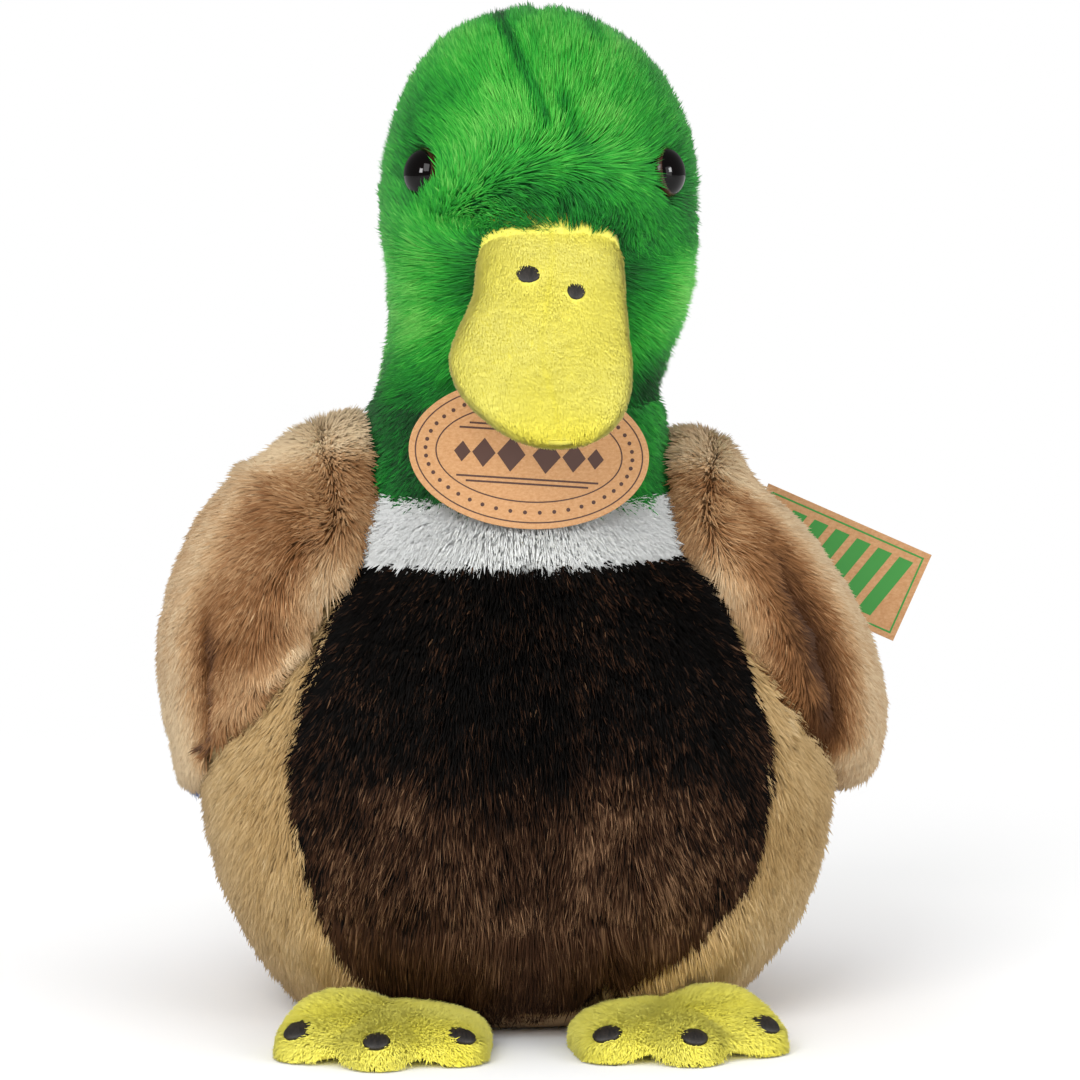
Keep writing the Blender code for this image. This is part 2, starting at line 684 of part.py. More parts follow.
# How much thicker the wing's filling is at a share of its length and of its width: most at the
# crest share of the width, and fuller in the right wing, as in the photo
def wing_swell(side, along, across):
    shoulder = WING_LEFT_SHOULDER_BULGE if side > 0 else WING_RIGHT_SHOULDER_BULGE
    round_off = np.sqrt(np.clip(1 - np.abs(2 * across - 1) ** 3, 0, 1))
    round_off = round_off * np.sqrt(np.clip(1 - np.abs(2 * along - 1) ** 4, 0, 1))
    hump = np.sin(math.pi * across ** (math.log(0.5) / math.log(WING_CREST_SHARE)))
    return round_off * (WING_BULGE + (shoulder - WING_BULGE) * hump)


# Points of a wing at a height above its lining's inner face
def wing_points(side, along, across, lift):
    low, high = np.moveaxis(at_share(WING_EDGE_SHARES, along)[..., 1:], -1, 0)
    height = WING_LOW + WING_HEIGHT * (low + (high - low) * across)
    angle = WING_FRONT_ANGLE + (WING_REAR_ANGLE - WING_FRONT_ANGLE) * along
    top = WING_LOW + WING_HEIGHT
    part = np.clip((height - WING_SHOULDER_HEIGHT) / (top - WING_SHOULDER_HEIGHT), 0, 1)
    shoulder = WING_SHOULDER_LIFT * part * part * (3 - 2 * part)
    return BODY.points(BODY.place_at(height), side * angle, WING_CLEARANCE + shoulder + lift)


# Shares of the wing's length where its layers have points, for its three covers, and of its width
def wing_nodes():
    stripe, tip = WING_STRIPE_SHARES
    front = stripe * (1 - np.cos(np.linspace(0, math.pi / 2, 8)))
    rear = tip + (1 - tip) * np.sin(np.linspace(0, math.pi / 2, 5))
    return front, np.linspace(stripe, tip, 3), rear, (1 - np.cos(np.linspace(0, math.pi, 10))) / 2


def build_wing(side, pivot):
    name = "left" if side > 0 else "right"
    front, stripe, rear, width = wing_nodes()
    whole = np.concatenate([front, stripe[1:], rear[1:]])
    lined = SHORT_CLOTH + SEAM_GAP
    filled = lined + SEAM_GAP
    covered = filled + WING_FILL_GAP

    # A layer between two heights, each with or without the filling's swell
    def add_layer(piece, along, across, low, high, swell_low, finish):
        along, across = np.broadcast_arrays(along[None, :], across[:, None])
        swell = wing_swell(side, along, across)
        swell_high = 0 if high == SHORT_CLOTH else 1
        outer = wing_points(side, along, across, high + swell * swell_high)
        inner = wing_points(side, along, across, low + swell * swell_low)
        # The layers split their squares alike, so that none cuts the next
        add_sheet(f"{piece}_{name}", outer, inner, finish, pivot, split="FIXED")

    add_layer("wing_lining", whole, width, 0.0, SHORT_CLOTH, 0, "lining_cloth")
    add_layer("wing_stuffing", whole[2:-1], width[1:-1], lined, filled, 0, "fibre_fill")
    seam = SEAM_GAP / 2 / (WING_REAR_ANGLE - WING_FRONT_ANGLE) / BODY_HALF_WIDTH
    for piece, along, finish in (("wing_cover", front, "brown_plush"),
                                 ("wing_stripe", stripe, "blue_plush"),
                                 ("wing_tip", rear, "feather_plush")):
        along = np.clip(along, along[0] + seam * (along[0] > 0), along[-1] - seam * (along[-1] < 1))
        add_layer(piece, along, width, covered, covered + LONG_CLOTH, 1, finish)


# Distance from the foot's middle to its edge, with three toes in front
def foot_edge(turn):
    reach = np.where(np.cos(turn) > 0, FOOT_REACH_FRONT, FOOT_REACH_REAR)
    base = 1 / np.sqrt((np.cos(turn) / reach) ** 2 + (np.sin(turn) / FOOT_HALF_WIDTH) ** 2)
    for toe in FOOT_TOE_ANGLES:
        base = base + FOOT_TOE_LENGTH * np.exp(-((turn - toe) / FOOT_TOE_SPREAD) ** 2)
    return base


def build_foot(side, pivot):
    name = "left" if side > 0 else "right"
    turn = np.linspace(-math.pi, math.pi, FOOT_STEPS, endpoint=False)
    spoke = np.stack([np.sin(turn), -np.cos(turn), np.zeros(FOOT_STEPS)], axis=-1)
    edge = spoke * foot_edge(turn)[:, None]
    middle = np.array([side * FOOT_OUT, -FOOT_FRONT, 0.0])

    # A ring at a share of the way out, at one height
    def level_ring(share, height):
        return middle + edge * share + np.array([0, 0, height])

    # The upper's surface swells from its rim and rises towards the heel, up to the belly
    def top_ring(share):
        ring = level_ring(share, upper_floor)
        ahead = -(ring[:, 1] - middle[1]) / FOOT_REACH_FRONT
        crest = np.interp(ahead, (-1.0, 1.0), (FOOT_HEEL_HEIGHT, FOOT_TOE_HEIGHT))
        swell = FOOT_RIM + (crest - upper_floor - FOOT_RIM) * math.sqrt(1 - share ** 3)
        room = travel_to(BODY, ring, np.array([0, 0, 1.0]), FOOT_LOOK_UP, FOOT_CLEARANCE)
        ring[:, 2] += np.clip(room, SEAM_GAP, swell)
        return ring

    sole_top = FOOT_FLOOR_GAP + SHORT_CLOTH
    upper_floor = sole_top + SEAM_GAP
    shares = (0.5, 0.86, 1.0)
    sole = [level_ring(share, FOOT_FLOOR_GAP) for share in shares]
    sole += [level_ring(share, sole_top) for share in shares[::-1]]
    low = middle + np.array([0, 0, FOOT_FLOOR_GAP])
    high = middle + np.array([0, 0, sole_top])
    add_loft(f"foot_sole_{name}", low, sole, high, "yellow_plush", pivot)
    upper = [top_ring(share) for share in shares]
    upper += [level_ring(share, upper_floor) for share in shares[::-1]]
    crown = top_ring(0.0).mean(axis=0)
    floor = middle + np.array([0, 0, upper_floor])
    add_loft(f"foot_upper_{name}", crown, upper, floor, "yellow_plush", pivot)


# A flat card with a round hole, facing along Y; its outline is given about the hole
def add_card(name, hole, outline, tilt, pivot):
    turn = np.array([[math.cos(tilt), 0, math.sin(tilt)], [0, 1, 0], [-math.sin(tilt), 0, math.cos(tilt)]])
    edge = np.stack([outline[:, 0], np.zeros(len(outline)), outline[:, 1]], axis=-1)
    rim = edge / np.linalg.norm(edge, axis=1, keepdims=True) * PIN_HOLE_RADIUS
    front = hole + np.array([rim, edge]) @ turn
    back = front + np.array([0, CARD_THICKNESS, 0])
    add_sheet(name, front, back, "kraft_card", pivot, closed=True)


# A straight plastic pin along Y from a surface through a card, with a round head
def add_pin(name, start, end, pivot):
    axis = end - start
    length = np.linalg.norm(axis)
    profile = [(0, 0), (PIN_RADIUS, 0), (PIN_RADIUS, length), (PIN_HEAD_RADIUS, length),
               (PIN_HEAD_RADIUS, length + PIN_HEAD_THICKNESS), (0, length + PIN_HEAD_THICKNESS)]
    add_turned(name, profile, start, axis, PIN_STEPS, "clear_plastic", pivot)


# The pin leaves the front of the neck just under the head; the card hangs at its other end
def neck_card_hole():
    seat = BODY.skin(BODY.place_at(BODY_HEIGHT - NECK_PIN_DROP), 0.0)
    return seat, seat - np.array([0, NECK_PIN_LENGTH, 0])


# The card's middle hangs straight below its hole
def build_neck_card(neck, pivot):
    seat, hole = neck_card_hole()
    turn = ring_angles(NECK_CARD_STEPS)
    drop = NECK_CARD_HOLE_UP
    shift = np.array([-drop * math.sin(NECK_CARD_TILT), -drop * math.cos(NECK_CARD_TILT)])
    outline = np.stack([NECK_CARD_HALF_WIDTH * np.cos(turn), NECK_CARD_HALF_HEIGHT * np.sin(turn)], axis=-1)
    add_card("neck_card", hole, outline + shift, NECK_CARD_TILT, pivot)
    apart = np.array([0, SEAM_GAP, 0])
    add_pin("neck_card_pin", seat - apart, hole - apart, neck)


# The pin leaves the wing's tip at a corner of its faces; the card hangs at its other end
def side_card_hole():
    along, across = (nodes[at] for nodes, at in zip(wing_nodes()[2:], SIDE_PIN_STEPS))
    lift = SHORT_CLOTH + 2 * SEAM_GAP + WING_FILL_GAP + LONG_CLOTH + wing_swell(1, along, across)
    seat = wing_points(1, along, across, lift)
    return seat, seat + np.array([0, SIDE_PIN_LENGTH, 0])


def build_side_card(wing, pivot):
    seat, hole = side_card_hole()
    left = -SIDE_CARD_HOLE_IN
    right = SIDE_CARD_WIDTH - SIDE_CARD_HOLE_IN
    low = -SIDE_CARD_HOLE_UP
    high = SIDE_CARD_HEIGHT - SIDE_CARD_HOLE_UP
    corners = np.array([(left, low), (right, low), (right, high), (left, high)])
    shares = np.linspace(0, 1, SIDE_CARD_SIDE_STEPS, endpoint=False)[:, None]
    outline = np.vstack([corners[at - 1] + (corners[at] - corners[at - 1]) * shares for at in range(4)])
    add_card("side_card", hole, outline, SIDE_CARD_TILT, pivot)
    start = seat + np.array([0, SEAM_GAP, 0])
    end = hole + np.array([0, CARD_THICKNESS + SEAM_GAP, 0])
    add_pin("side_card_pin", start, end, wing)


def build():
    for leftover in list(bpy.data.objects):
        bpy.data.objects.remove(leftover)
    neck = add_pivot("neck_pivot", (0, 0, NECK_PIVOT_HEIGHT))
    tail = add_pivot("tail_pivot", (0, TAIL_ROOT_BACK, TAIL_ROOT_HEIGHT))
    build_base_and_filling()
    build_body_panels()
    build_neck(neck)
    build_head(neck)
    build_bill(neck)
    build_tail(tail)
    wings = {}
    for side in (1, -1):
        wings[side] = add_pivot(f"wing_pivot_{side}", (side * WING_HINGE_OUT, 0, WING_HINGE_HEIGHT))
        build_wing(side, wings[side])
        heel = -FOOT_FRONT + FOOT_REACH_REAR
        foot = add_pivot(f"foot_pivot_{side}", (side * FOOT_OUT, heel, FOOT_HINGE_HEIGHT))
        build_foot(side, foot)
    build_neck_card(neck, add_pivot("neck_card_pivot", neck_card_hole()[1]))
    build_side_card(wings[1], add_pivot("side_card_pivot", side_card_hole()[1]))


build()
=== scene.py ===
# A plush mallard drake: pile cloth, short pile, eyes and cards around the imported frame.
import math
import bmesh
import bpy
import numpy as np
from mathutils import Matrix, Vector


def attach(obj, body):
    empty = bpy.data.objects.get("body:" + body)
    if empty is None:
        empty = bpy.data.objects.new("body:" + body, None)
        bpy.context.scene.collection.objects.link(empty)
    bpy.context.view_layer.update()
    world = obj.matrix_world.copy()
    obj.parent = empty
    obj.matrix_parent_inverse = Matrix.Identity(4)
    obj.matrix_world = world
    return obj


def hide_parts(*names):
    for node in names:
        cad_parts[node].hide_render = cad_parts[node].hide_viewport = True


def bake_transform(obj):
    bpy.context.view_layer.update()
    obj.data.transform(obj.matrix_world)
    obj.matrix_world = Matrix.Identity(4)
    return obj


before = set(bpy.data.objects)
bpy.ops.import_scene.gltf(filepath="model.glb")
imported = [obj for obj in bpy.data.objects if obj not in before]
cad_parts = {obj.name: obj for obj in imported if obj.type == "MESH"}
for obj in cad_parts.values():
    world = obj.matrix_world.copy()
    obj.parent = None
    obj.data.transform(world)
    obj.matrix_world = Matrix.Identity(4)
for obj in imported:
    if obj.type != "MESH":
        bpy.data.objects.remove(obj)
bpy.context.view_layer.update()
mm = 0.001
print("frame loaded:", len(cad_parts), "nodes")


# sRGB hex to the linear colour that a shader reads: the display curve taken backwards
def linear(code):
    parts = [int(code[at:at + 2], 16) / 255 for at in (1, 3, 5)]
    return [part / 12.92 if part <= 0.04045 else ((part + 0.055) / 1.055) ** 2.4 for part in parts] + [1]


# Adds one node, with settings by name or by socket, and links given as (from socket, to input)
def addNode(tree, kind, settings=None, links=()):
    node = tree.nodes.new(kind)
    for name, value in (settings or {}).items():
        if isinstance(name, str) and hasattr(node, name):
            setattr(node, name, value)
        else:
            node.inputs[name].default_value = value
    for source, target in links:
        tree.links.new(source, node.inputs[target])
    return node


def startMaterial(name):
    material = bpy.data.materials.new(name)
    material.use_nodes = True
    return material, material.node_tree, material.node_tree.nodes["Principled BSDF"]


# A ramp's stops as (place, hex) pairs
def fillRamp(node, stops):
    ramp = node.color_ramp
    while len(ramp.elements) < len(stops):
        ramp.elements.new(0.5)
    for element, (place, code) in zip(ramp.elements, stops):
        element.position = place
        element.color = linear(code)


# Repeatable noise from 0 to 1 in space: random values on a lattice, eased between its corners
def spaceNoise(points, size, seed):
    table = np.random.default_rng(seed).random((32, 32, 32))
    cell = np.asarray(points) / size + 100.0
    base = np.floor(cell).astype(int)
    part = cell - base
    part = part * part * (3 - 2 * part)
    value = 0.0
    for corner in np.ndindex(2, 2, 2):
        weight = np.prod(np.where(corner, part, 1 - part), axis=-1)
        at = (base + corner) % 32
        value = value + weight * table[at[..., 0], at[..., 1], at[..., 2]]
    return value


# Slope of the same noise, by differences a fifth of a cell apart
def noiseSlope(points, size, seed):
    step = size / 5
    ways = np.eye(3) * step
    return np.stack([spaceNoise(points + way, size, seed) - spaceNoise(points - way, size, seed)
                     for way in ways], axis=-1) * size / (2 * step)


def unit(vectors):
    return vectors / np.maximum(np.linalg.norm(vectors, axis=-1, keepdims=True), 1e-9)


def rise(low, high, value):
    part = np.clip((value - low) / (high - low), 0, 1)
    return part * part * (3 - 2 * part)


# A smooth curve through a table's rows; place counts rows, and a pole closes the last one
def alongRows(rows, place, pole=False):
    table = np.asarray(rows, float)
    after = table[-2] * np.array([1, -1, -1, -1, 1.0]) if pole else 2 * table[-1] - table[-2]
    table = np.vstack([2 * table[0] - table[1], table, after])
    place = np.clip(np.asarray(place, float), 0, len(rows) - 1)
    start = np.minimum(place.astype(int), len(rows) - 2)
    part = (place - start)[..., None]
    p0, p1, p2, p3 = (table[start + step] for step in range(4))
    return 0.5 * (2 * p1 + (p2 - p0) * part + (2 * p0 - 5 * p1 + 4 * p2 - p3) * part ** 2
                  + (3 * p1 - 3 * p2 + p3 - p0) * part ** 3)


def atShare(rows, value):
    places = np.linspace(0, len(rows) - 1, 60 * len(rows))
    curve = alongRows(rows, places)
    return alongRows(rows, np.interp(value, curve[:, 0], places))


# A stuffed form: half an ellipse in front and half behind at each height, about a leaning middle.
# Point: (lean + width sin a, -depth cos a, height), with a from the breast round to the left side.
class StuffedForm:
    def __init__(self, shape):
        self.rows, self.pole = shape["rows"], shape["pole"]
        self.sizes = np.array([shape[key] for key in ("height", "halfWidth", "front", "back", "lean")]) * mm
        self.floor = shape["floor"] * mm
        self.last = len(self.rows) - 1
        self.places = np.linspace(0, self.last, 80 * len(self.rows))
        self.heights = self.section(self.places)[:, 0]

    def section(self, place):
        row = alongRows(self.rows, place, self.pole) * self.sizes
        row[..., 0] += self.floor
        return row

    def placeAt(self, height):
        return np.interp(height, self.heights, self.places)

    def skin(self, place, angle):
        place, angle = np.broadcast_arrays(place, angle)
        row = self.section(place)
        depth = np.where(np.cos(angle) > 0, row[..., 2], row[..., 3])
        across = row[..., 4] + row[..., 1] * np.sin(angle)
        return np.stack([across, -depth * np.cos(angle), row[..., 0]], axis=-1)

    def normal(self, place, angle):
        step = 0.02
        middle = np.clip(place, 0, self.last - 2 * step if self.pole else self.last)
        up = self.skin(np.minimum(middle + step, self.last), angle) - self.skin(middle - step, angle)
        return unit(np.cross(self.skin(middle, angle + step) - self.skin(middle, angle - step), up))

    def moved(self, place, angle, out):
        place, angle = np.broadcast_arrays(np.asarray(place, float), np.asarray(angle, float))
        out = np.broadcast_to(out, place.shape)[..., None]
        points = self.skin(place, angle) + self.normal(place, angle) * out
        if self.pole:
            top = self.skin(place, angle) + np.array([0, 0, 1.0]) * out
            points = np.where((place >= self.last - 1e-6)[..., None], top, points)
        return points

    # Which points lie inside the form grown by a gap
    def holds(self, points, gap):
        row = self.section(self.placeAt(points[..., 2]))
        depth = np.where(points[..., 1] < 0, row[..., 2], row[..., 3]) + gap
        across = (points[..., 0] - row[..., 4]) / (row[..., 1] + gap)
        inside = across ** 2 + (points[..., 1] / depth) ** 2 < 1
        return inside & (points[..., 2] > self.floor - gap) & (points[..., 2] < self.heights[-1] + gap)


bodyShape = {
    "floor": 0, "height": 130, "halfWidth": 67, "front": 60, "back": 70, "lean": 0, "pole": False,
    # height, half width, depth in front, depth behind and lean, as shares of the sizes above
    "rows": (
        (0.000, 0.560, 0.520, 0.580, 0), (0.023, 0.685, 0.640, 0.690, 0), (0.061, 0.768, 0.755, 0.790, 0),
        (0.115, 0.850, 0.855, 0.875, 0), (0.183, 0.922, 0.932, 0.945, 0), (0.275, 0.976, 0.988, 0.990, 0),
        (0.382, 1.000, 1.000, 1.000, 0), (0.489, 0.978, 0.967, 0.971, 0), (0.595, 0.893, 0.892, 0.886, 0),
        (0.687, 0.765, 0.783, 0.771, 0), (0.748, 0.647, 0.705, 0.685, 0), (0.794, 0.577, 0.650, 0.600, 0),
        (0.848, 0.528, 0.605, 0.529, 0), (0.920, 0.479, 0.560, 0.465, 0), (1.000, 0.450, 0.525, 0.425, 0)),
    "baseSeam": 5, "ringLow": 99, "ringHigh": 110.5, "backSeam": math.radians(118),
    "breastShares": ((0.00, 0.38), (0.04, 0.51), (0.10, 0.61), (0.17, 0.67), (0.27, 0.71), (0.40, 0.74),
                     (0.56, 0.75), (0.64, 0.76), (0.72, 0.80), (0.78, 0.86)),
}
headShape = {
    "floor": 130.3, "height": 80.5, "halfWidth": 33.3, "front": 41.5, "back": 36.5, "lean": 4.6, "pole": True,
    "rows": (
        (0.000, 0.900, 0.760, 0.815, 0), (0.085, 0.903, 0.810, 0.845, 0.4), (0.180, 0.935, 0.885, 0.900, 0.9),
        (0.300, 0.980, 0.960, 0.970, 1.1), (0.425, 1.000, 1.000, 1.000, 1), (0.545, 0.990, 0.985, 1.000, 1),
        (0.655, 0.945, 0.925, 0.960, 1), (0.755, 0.860, 0.825, 0.870, 1), (0.845, 0.735, 0.695, 0.745, 1),
        (0.915, 0.580, 0.540, 0.585, 1), (0.965, 0.385, 0.360, 0.390, 1), (0.992, 0.190, 0.180, 0.195, 1),
        (1.000, 0.000, 0.000, 0.000, 1)),
}
bodyForm = StuffedForm(bodyShape)
headForm = StuffedForm(headShape)


# Puts arrays into a mesh: points, then faces of one corner count, with smooth shading
def makeMesh(name, points, faces, material):
    points = np.asarray(points, np.float32).reshape(-1, 3)
    faces = np.asarray(faces, np.int32)
    corners = faces.shape[1]
    mesh = bpy.data.meshes.new(name)
    mesh.vertices.add(len(points))
    mesh.vertices.foreach_set("co", points.ravel())
    mesh.loops.add(faces.size)
    mesh.loops.foreach_set("vertex_index", faces.ravel())
    mesh.polygons.add(len(faces))
    mesh.polygons.foreach_set("loop_start", np.arange(0, faces.size, corners, dtype=np.int32))
    mesh.polygons.foreach_set("use_smooth", np.ones(len(faces), bool))
    mesh.update(calc_edges=True)
    mesh.validate()
    mesh.materials.append(material)
    piece = bpy.data.objects.new(name, mesh)
    bpy.context.scene.collection.objects.link(piece)
    return piece


# Corner numbers of the squares of a grid, rows by columns; a closed grid joins its last column to its first
def gridFaces(rows, columns, closed=False):
    here = np.arange(rows * columns).reshape(rows, columns)
    beside = np.roll(here, -1, axis=1)
    last = columns if closed else columns - 1
    return np.stack([here[:-1, :last], beside[:-1, :last], beside[1:, :last], here[1:, :last]],
                    axis=-1).reshape(-1, 4)


# A cloth with thickness: outer and inner grids of points with faces round their edges
def clothFaces(rows, columns, closed=False):
    count = rows * columns
    outer = gridFaces(rows, columns, closed)
    faces = [outer, outer[:, ::-1] + count]
    grid = np.arange(count).reshape(rows, columns)
    edges = [np.append(grid[0], grid[0, 0]) if closed else grid[0],
             (np.append(grid[-1], grid[-1, 0]) if closed else grid[-1])[::-1]]
    if not closed:
        edges += [grid[::-1, 0], grid[:, -1]]
    for edge in edges:
        faces.append(np.stack([edge[1:], edge[:-1], edge[:-1] + count, edge[1:] + count], axis=-1))
    return np.vstack(faces)


# Joins points that coincide, at poles and closed ends
def joinPoles(piece):
    shape = bmesh.new()
    shape.from_mesh(piece.data)
    bmesh.ops.remove_doubles(shape, verts=shape.verts, dist=1e-6)
    bmesh.ops.dissolve_degenerate(shape, edges=shape.edges, dist=1e-7)
    shape.to_mesh(piece.data)
    shape.free()


def normalAt(surface, u, v):
    step = 0.004
    across = surface(np.clip(u + step, 0, 1), v, 0) - surface(np.clip(u - step, 0, 1), v, 0)
    along = surface(u, np.clip(v + step, 0, 1), 0) - surface(u, np.clip(v - step, 0, 1), 0)
    return unit(np.cross(across, along))


# Settles a finished piece: its body and the CAD nodes that it stands for
def settle(piece, body, finish, nodes=()):
    if nodes:
        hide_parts(*nodes)
    if body == "neck":
        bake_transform(piece)
    else:
        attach(piece, body)
    return piece


# The cloth under the pile: a sheet from the surface's depth down to its back
def addCloth(node, body, finish, surface, columns, rows, material, top, back, closed=False):
    u, v = np.meshgrid(np.linspace(0, 1, columns, endpoint=not closed), np.linspace(0, 1, rows))
    points = np.stack([surface(u, v, -top * mm), surface(u, v, -back * mm)])
    piece = makeMesh(node + "_cloth", points, clothFaces(rows, columns, closed), material)
    joinPoles(piece)
    return settle(piece, body, finish, (node,))


# A closed skin from rings of points, the first and last ring drawn together to one point each
def addBlob(node, body, finish, rings, material):
    rings = np.asarray(rings)
    ends = [np.broadcast_to(ring.mean(axis=0), ring.shape) for ring in (rings[0], rings[-1])]
    rings = np.concatenate([ends[0][None], rings, ends[1][None]])
    piece = makeMesh(node + "_cloth", rings, gridFaces(len(rings), rings.shape[1], closed=True), material)
    joinPoles(piece)
    return settle(piece, body, finish, (node,))


# Even random places on a surface: cells drawn by their area, then a place inside each
def scatter(surface, count, rng):
    cells = 90
    u, v = np.meshgrid(np.linspace(0, 1, cells + 1), np.linspace(0, 1, cells + 1), indexing="ij")
    points = surface(u, v, 0)
    across = np.cross(points[1:, 1:] - points[:-1, :-1], points[1:, :-1] - points[:-1, 1:])
    area = np.linalg.norm(across, axis=-1)
    total = np.cumsum(area.ravel())
    cell = np.searchsorted(total / total[-1], (np.arange(count) + rng.random(count)) / count)
    cell = np.minimum(cell, cells * cells - 1)
    return (cell // cells + rng.random(count)) / cells, (cell % cells + rng.random(count)) / cells


# Strands that rise from the cloth and lie over: root, two points across the bend, and a tip.
# Tip = root + lift along the normal + reach along the comb + pull towards the nearest tuft's middle.
# The map holds each strand's tone across and the way from root to tip upwards.
def growPile(node, body, finish, surface, material, pile, comb, toneAt, seed):
    rng = np.random.default_rng(seed)
    count = pile["count"] // 1
    u, v = scatter(surface, count, rng)
    root = surface(u, v, -pile["depth"] * mm)
    normal = normalAt(surface, u, v)
    kept = np.ones(count, bool)
    if "mask" in pile:
        kept &= pile["mask"](root)
    for (spotU, spotV), (wideU, wideV) in pile.get("spots", ()):
        kept &= ((u - spotU) / wideU) ** 2 + ((v - spotV) / wideV) ** 2 > 1 + rng.normal(0, 0.12, count)
    u, v, root, normal = u[kept], v[kept], root[kept], normal[kept]
    count = len(u)
    way = unit(comb(root, normal, u, v))
    swirl = noiseSlope(root, pile["swirlSize"] * mm, seed + 1)
    way = way + swirl * pile["swirl"] + rng.normal(0, pile["stray"], (count, 3))
    way = unit(way - normal * (way * normal).sum(-1, keepdims=True))
    tuftSize = pile["tuft"] * mm
    tuftSlope = noiseSlope(root, tuftSize, seed + 2)
    tuftSlope -= normal * (tuftSlope * normal).sum(-1, keepdims=True)
    tuft = spaceNoise(root, tuftSize, seed + 2)
    short = pile["short"](u, v) if "short" in pile else 1.0
    length = pile["length"] * mm * (1 + rng.normal(0, 0.12, count)) * (0.9 + 0.2 * tuft) * short
    lift = pile["lift"] * mm * (0.85 + 0.3 * tuft + rng.normal(0, 0.1, count)) * short
    lift = np.minimum(lift, length * 0.97)
    reach = np.sqrt(length ** 2 - lift ** 2)
    pull = tuftSlope * tuftSize * pile["pull"]
    tip = root + normal * lift[:, None] + way * reach[:, None] + pull
    tip[:, 2] = np.maximum(tip[:, 2], 0.3 * mm)
    bend = root + normal * (lift * 0.6)[:, None] + way * (reach * 0.36)[:, None] + pull * 0.3
    half = pile["width"] * mm / 2 * (1 + rng.normal(0, 0.2, count).clip(-0.5, 0.6))
    side = unit(np.cross(normal, tip - root)) * half[:, None]
    points = np.stack([root, bend + side, bend - side, tip], axis=1)
    corners = np.array([(0, 2, 1), (3, 1, 2), (0, 1, 3), (0, 3, 2)])
    faces = ((np.arange(count) * 4)[:, None, None] + corners).reshape(-1, 3)
    piece = makeMesh(node + "_pile", points, faces, material)
    # Painted shade and light in the tone: strands rooted in the partings between tufts come out darker, and
    # those on the tufts' crowns paler; the per-strand spread is random
    tone = toneAt(root, u, v) + (tuft - 0.5) * pile["tuftPaintedShade"] + rng.normal(0, pile["toneSpread"], count)
    across = tone.clip(0.02, 0.98)[:, None] + np.array([0, -0.006, 0.006, 0])
    alongStrand = np.broadcast_to([0.02, 0.45, 0.45, 0.98], (count, 4))
    corner = np.stack([across, alongStrand], axis=-1).reshape(-1, 2)
    layer = piece.data.uv_layers.new(name="OFBake")
    layer.uv.foreach_set("vector", corner[faces.ravel()].astype(np.float32).ravel())
    own = np.empty(count * 12, np.float32)
    piece.data.vertex_normals.foreach_get("vector", own)
    blended = unit(own.reshape(count, 4, 3) * (1 - pile["soft"]) + normal[:, None] * pile["soft"])
    piece.data.normals_split_custom_set_from_vertices(blended.reshape(-1, 3))
    settle(piece, body, finish)
    print(piece.name, count, "strands")
    return piece


# Pile fibre: colour from the tone across the palette, darker towards the root, where less light gets in,
# and a weak sheen that catches light on the outline as polyester pile does
def pileMaterial(name, palette, rootShade=0.6, sheen=0.1, gloss=0.25):
    material, tree, shader = startMaterial(name)
    place = addNode(tree, "ShaderNodeUVMap", {"uv_map": "OFBake"})
    split = addNode(tree, "ShaderNodeSeparateXYZ", links=[(place.outputs["UV"], "Vector")])
    ramp = addNode(tree, "ShaderNodeValToRGB", links=[(split.outputs["X"], "Fac")])
    fillRamp(ramp, palette)
    shade = addNode(tree, "ShaderNodeMapRange", {"From Min": 0.0, "From Max": 0.75, "To Min": rootShade,
                                                 "To Max": 1.0}, [(split.outputs["Y"], "Value")])
    dark = addNode(tree, "ShaderNodeVectorMath", {"operation": "SCALE"},
                   [(ramp.outputs["Color"], "Vector"), (shade.outputs["Result"], "Scale")])
    tree.links.new(dark.outputs["Vector"], shader.inputs["Base Color"])
    shader.inputs["Roughness"].default_value = 0.7
    shader.inputs["Specular IOR Level"].default_value = gloss
    shader.inputs["Sheen Weight"].default_value = sheen
    shader.inputs["Sheen Roughness"].default_value = 0.4
    return material


# Plain matte finish: knitted backing seen between tufts, filling, board and clear nylon
def plainMaterial(name, code, roughness=0.9, sheen=0.0):
    material, _, shader = startMaterial(name)
    shader.inputs["Base Color"].default_value = linear(code)
    shader.inputs["Roughness"].default_value = roughness
    shader.inputs["Sheen Weight"].default_value = sheen
    return material


# Short cloth, board and thread: two colours mixed by noise that is stretched along the grain
def grainMaterial(name, dark, pale, size, stretch=(1, 1, 1), roughness=0.85, sheen=0.0, bump=0.3,
                  spread=0.25):
    material, tree, shader = startMaterial(name)
    place = addNode(tree, "ShaderNodeTexCoord")
    stretched = addNode(tree, "ShaderNodeMapping", {"Scale": stretch}, [(place.outputs["Object"], "Vector")])
    noise = addNode(tree, "ShaderNodeTexNoise", {"Scale": 1 / (size * mm), "Detail": 3.0, "Roughness": 0.6},
                    [(stretched.outputs["Vector"], "Vector")])
    ramp = addNode(tree, "ShaderNodeValToRGB", links=[(noise.outputs["Fac"], "Fac")])
    fillRamp(ramp, ((0.5 - spread, dark), (0.5 + spread, pale)))
    relief = addNode(tree, "ShaderNodeBump", {"Strength": bump, "Distance": size * mm * 0.3},
                     [(noise.outputs["Fac"], "Height")])
    tree.links.new(ramp.outputs["Color"], shader.inputs["Base Color"])
    tree.links.new(relief.outputs["Normal"], shader.inputs["Normal"])
    shader.inputs["Roughness"].default_value = roughness
    shader.inputs["Sheen Weight"].default_value = sheen
    return material


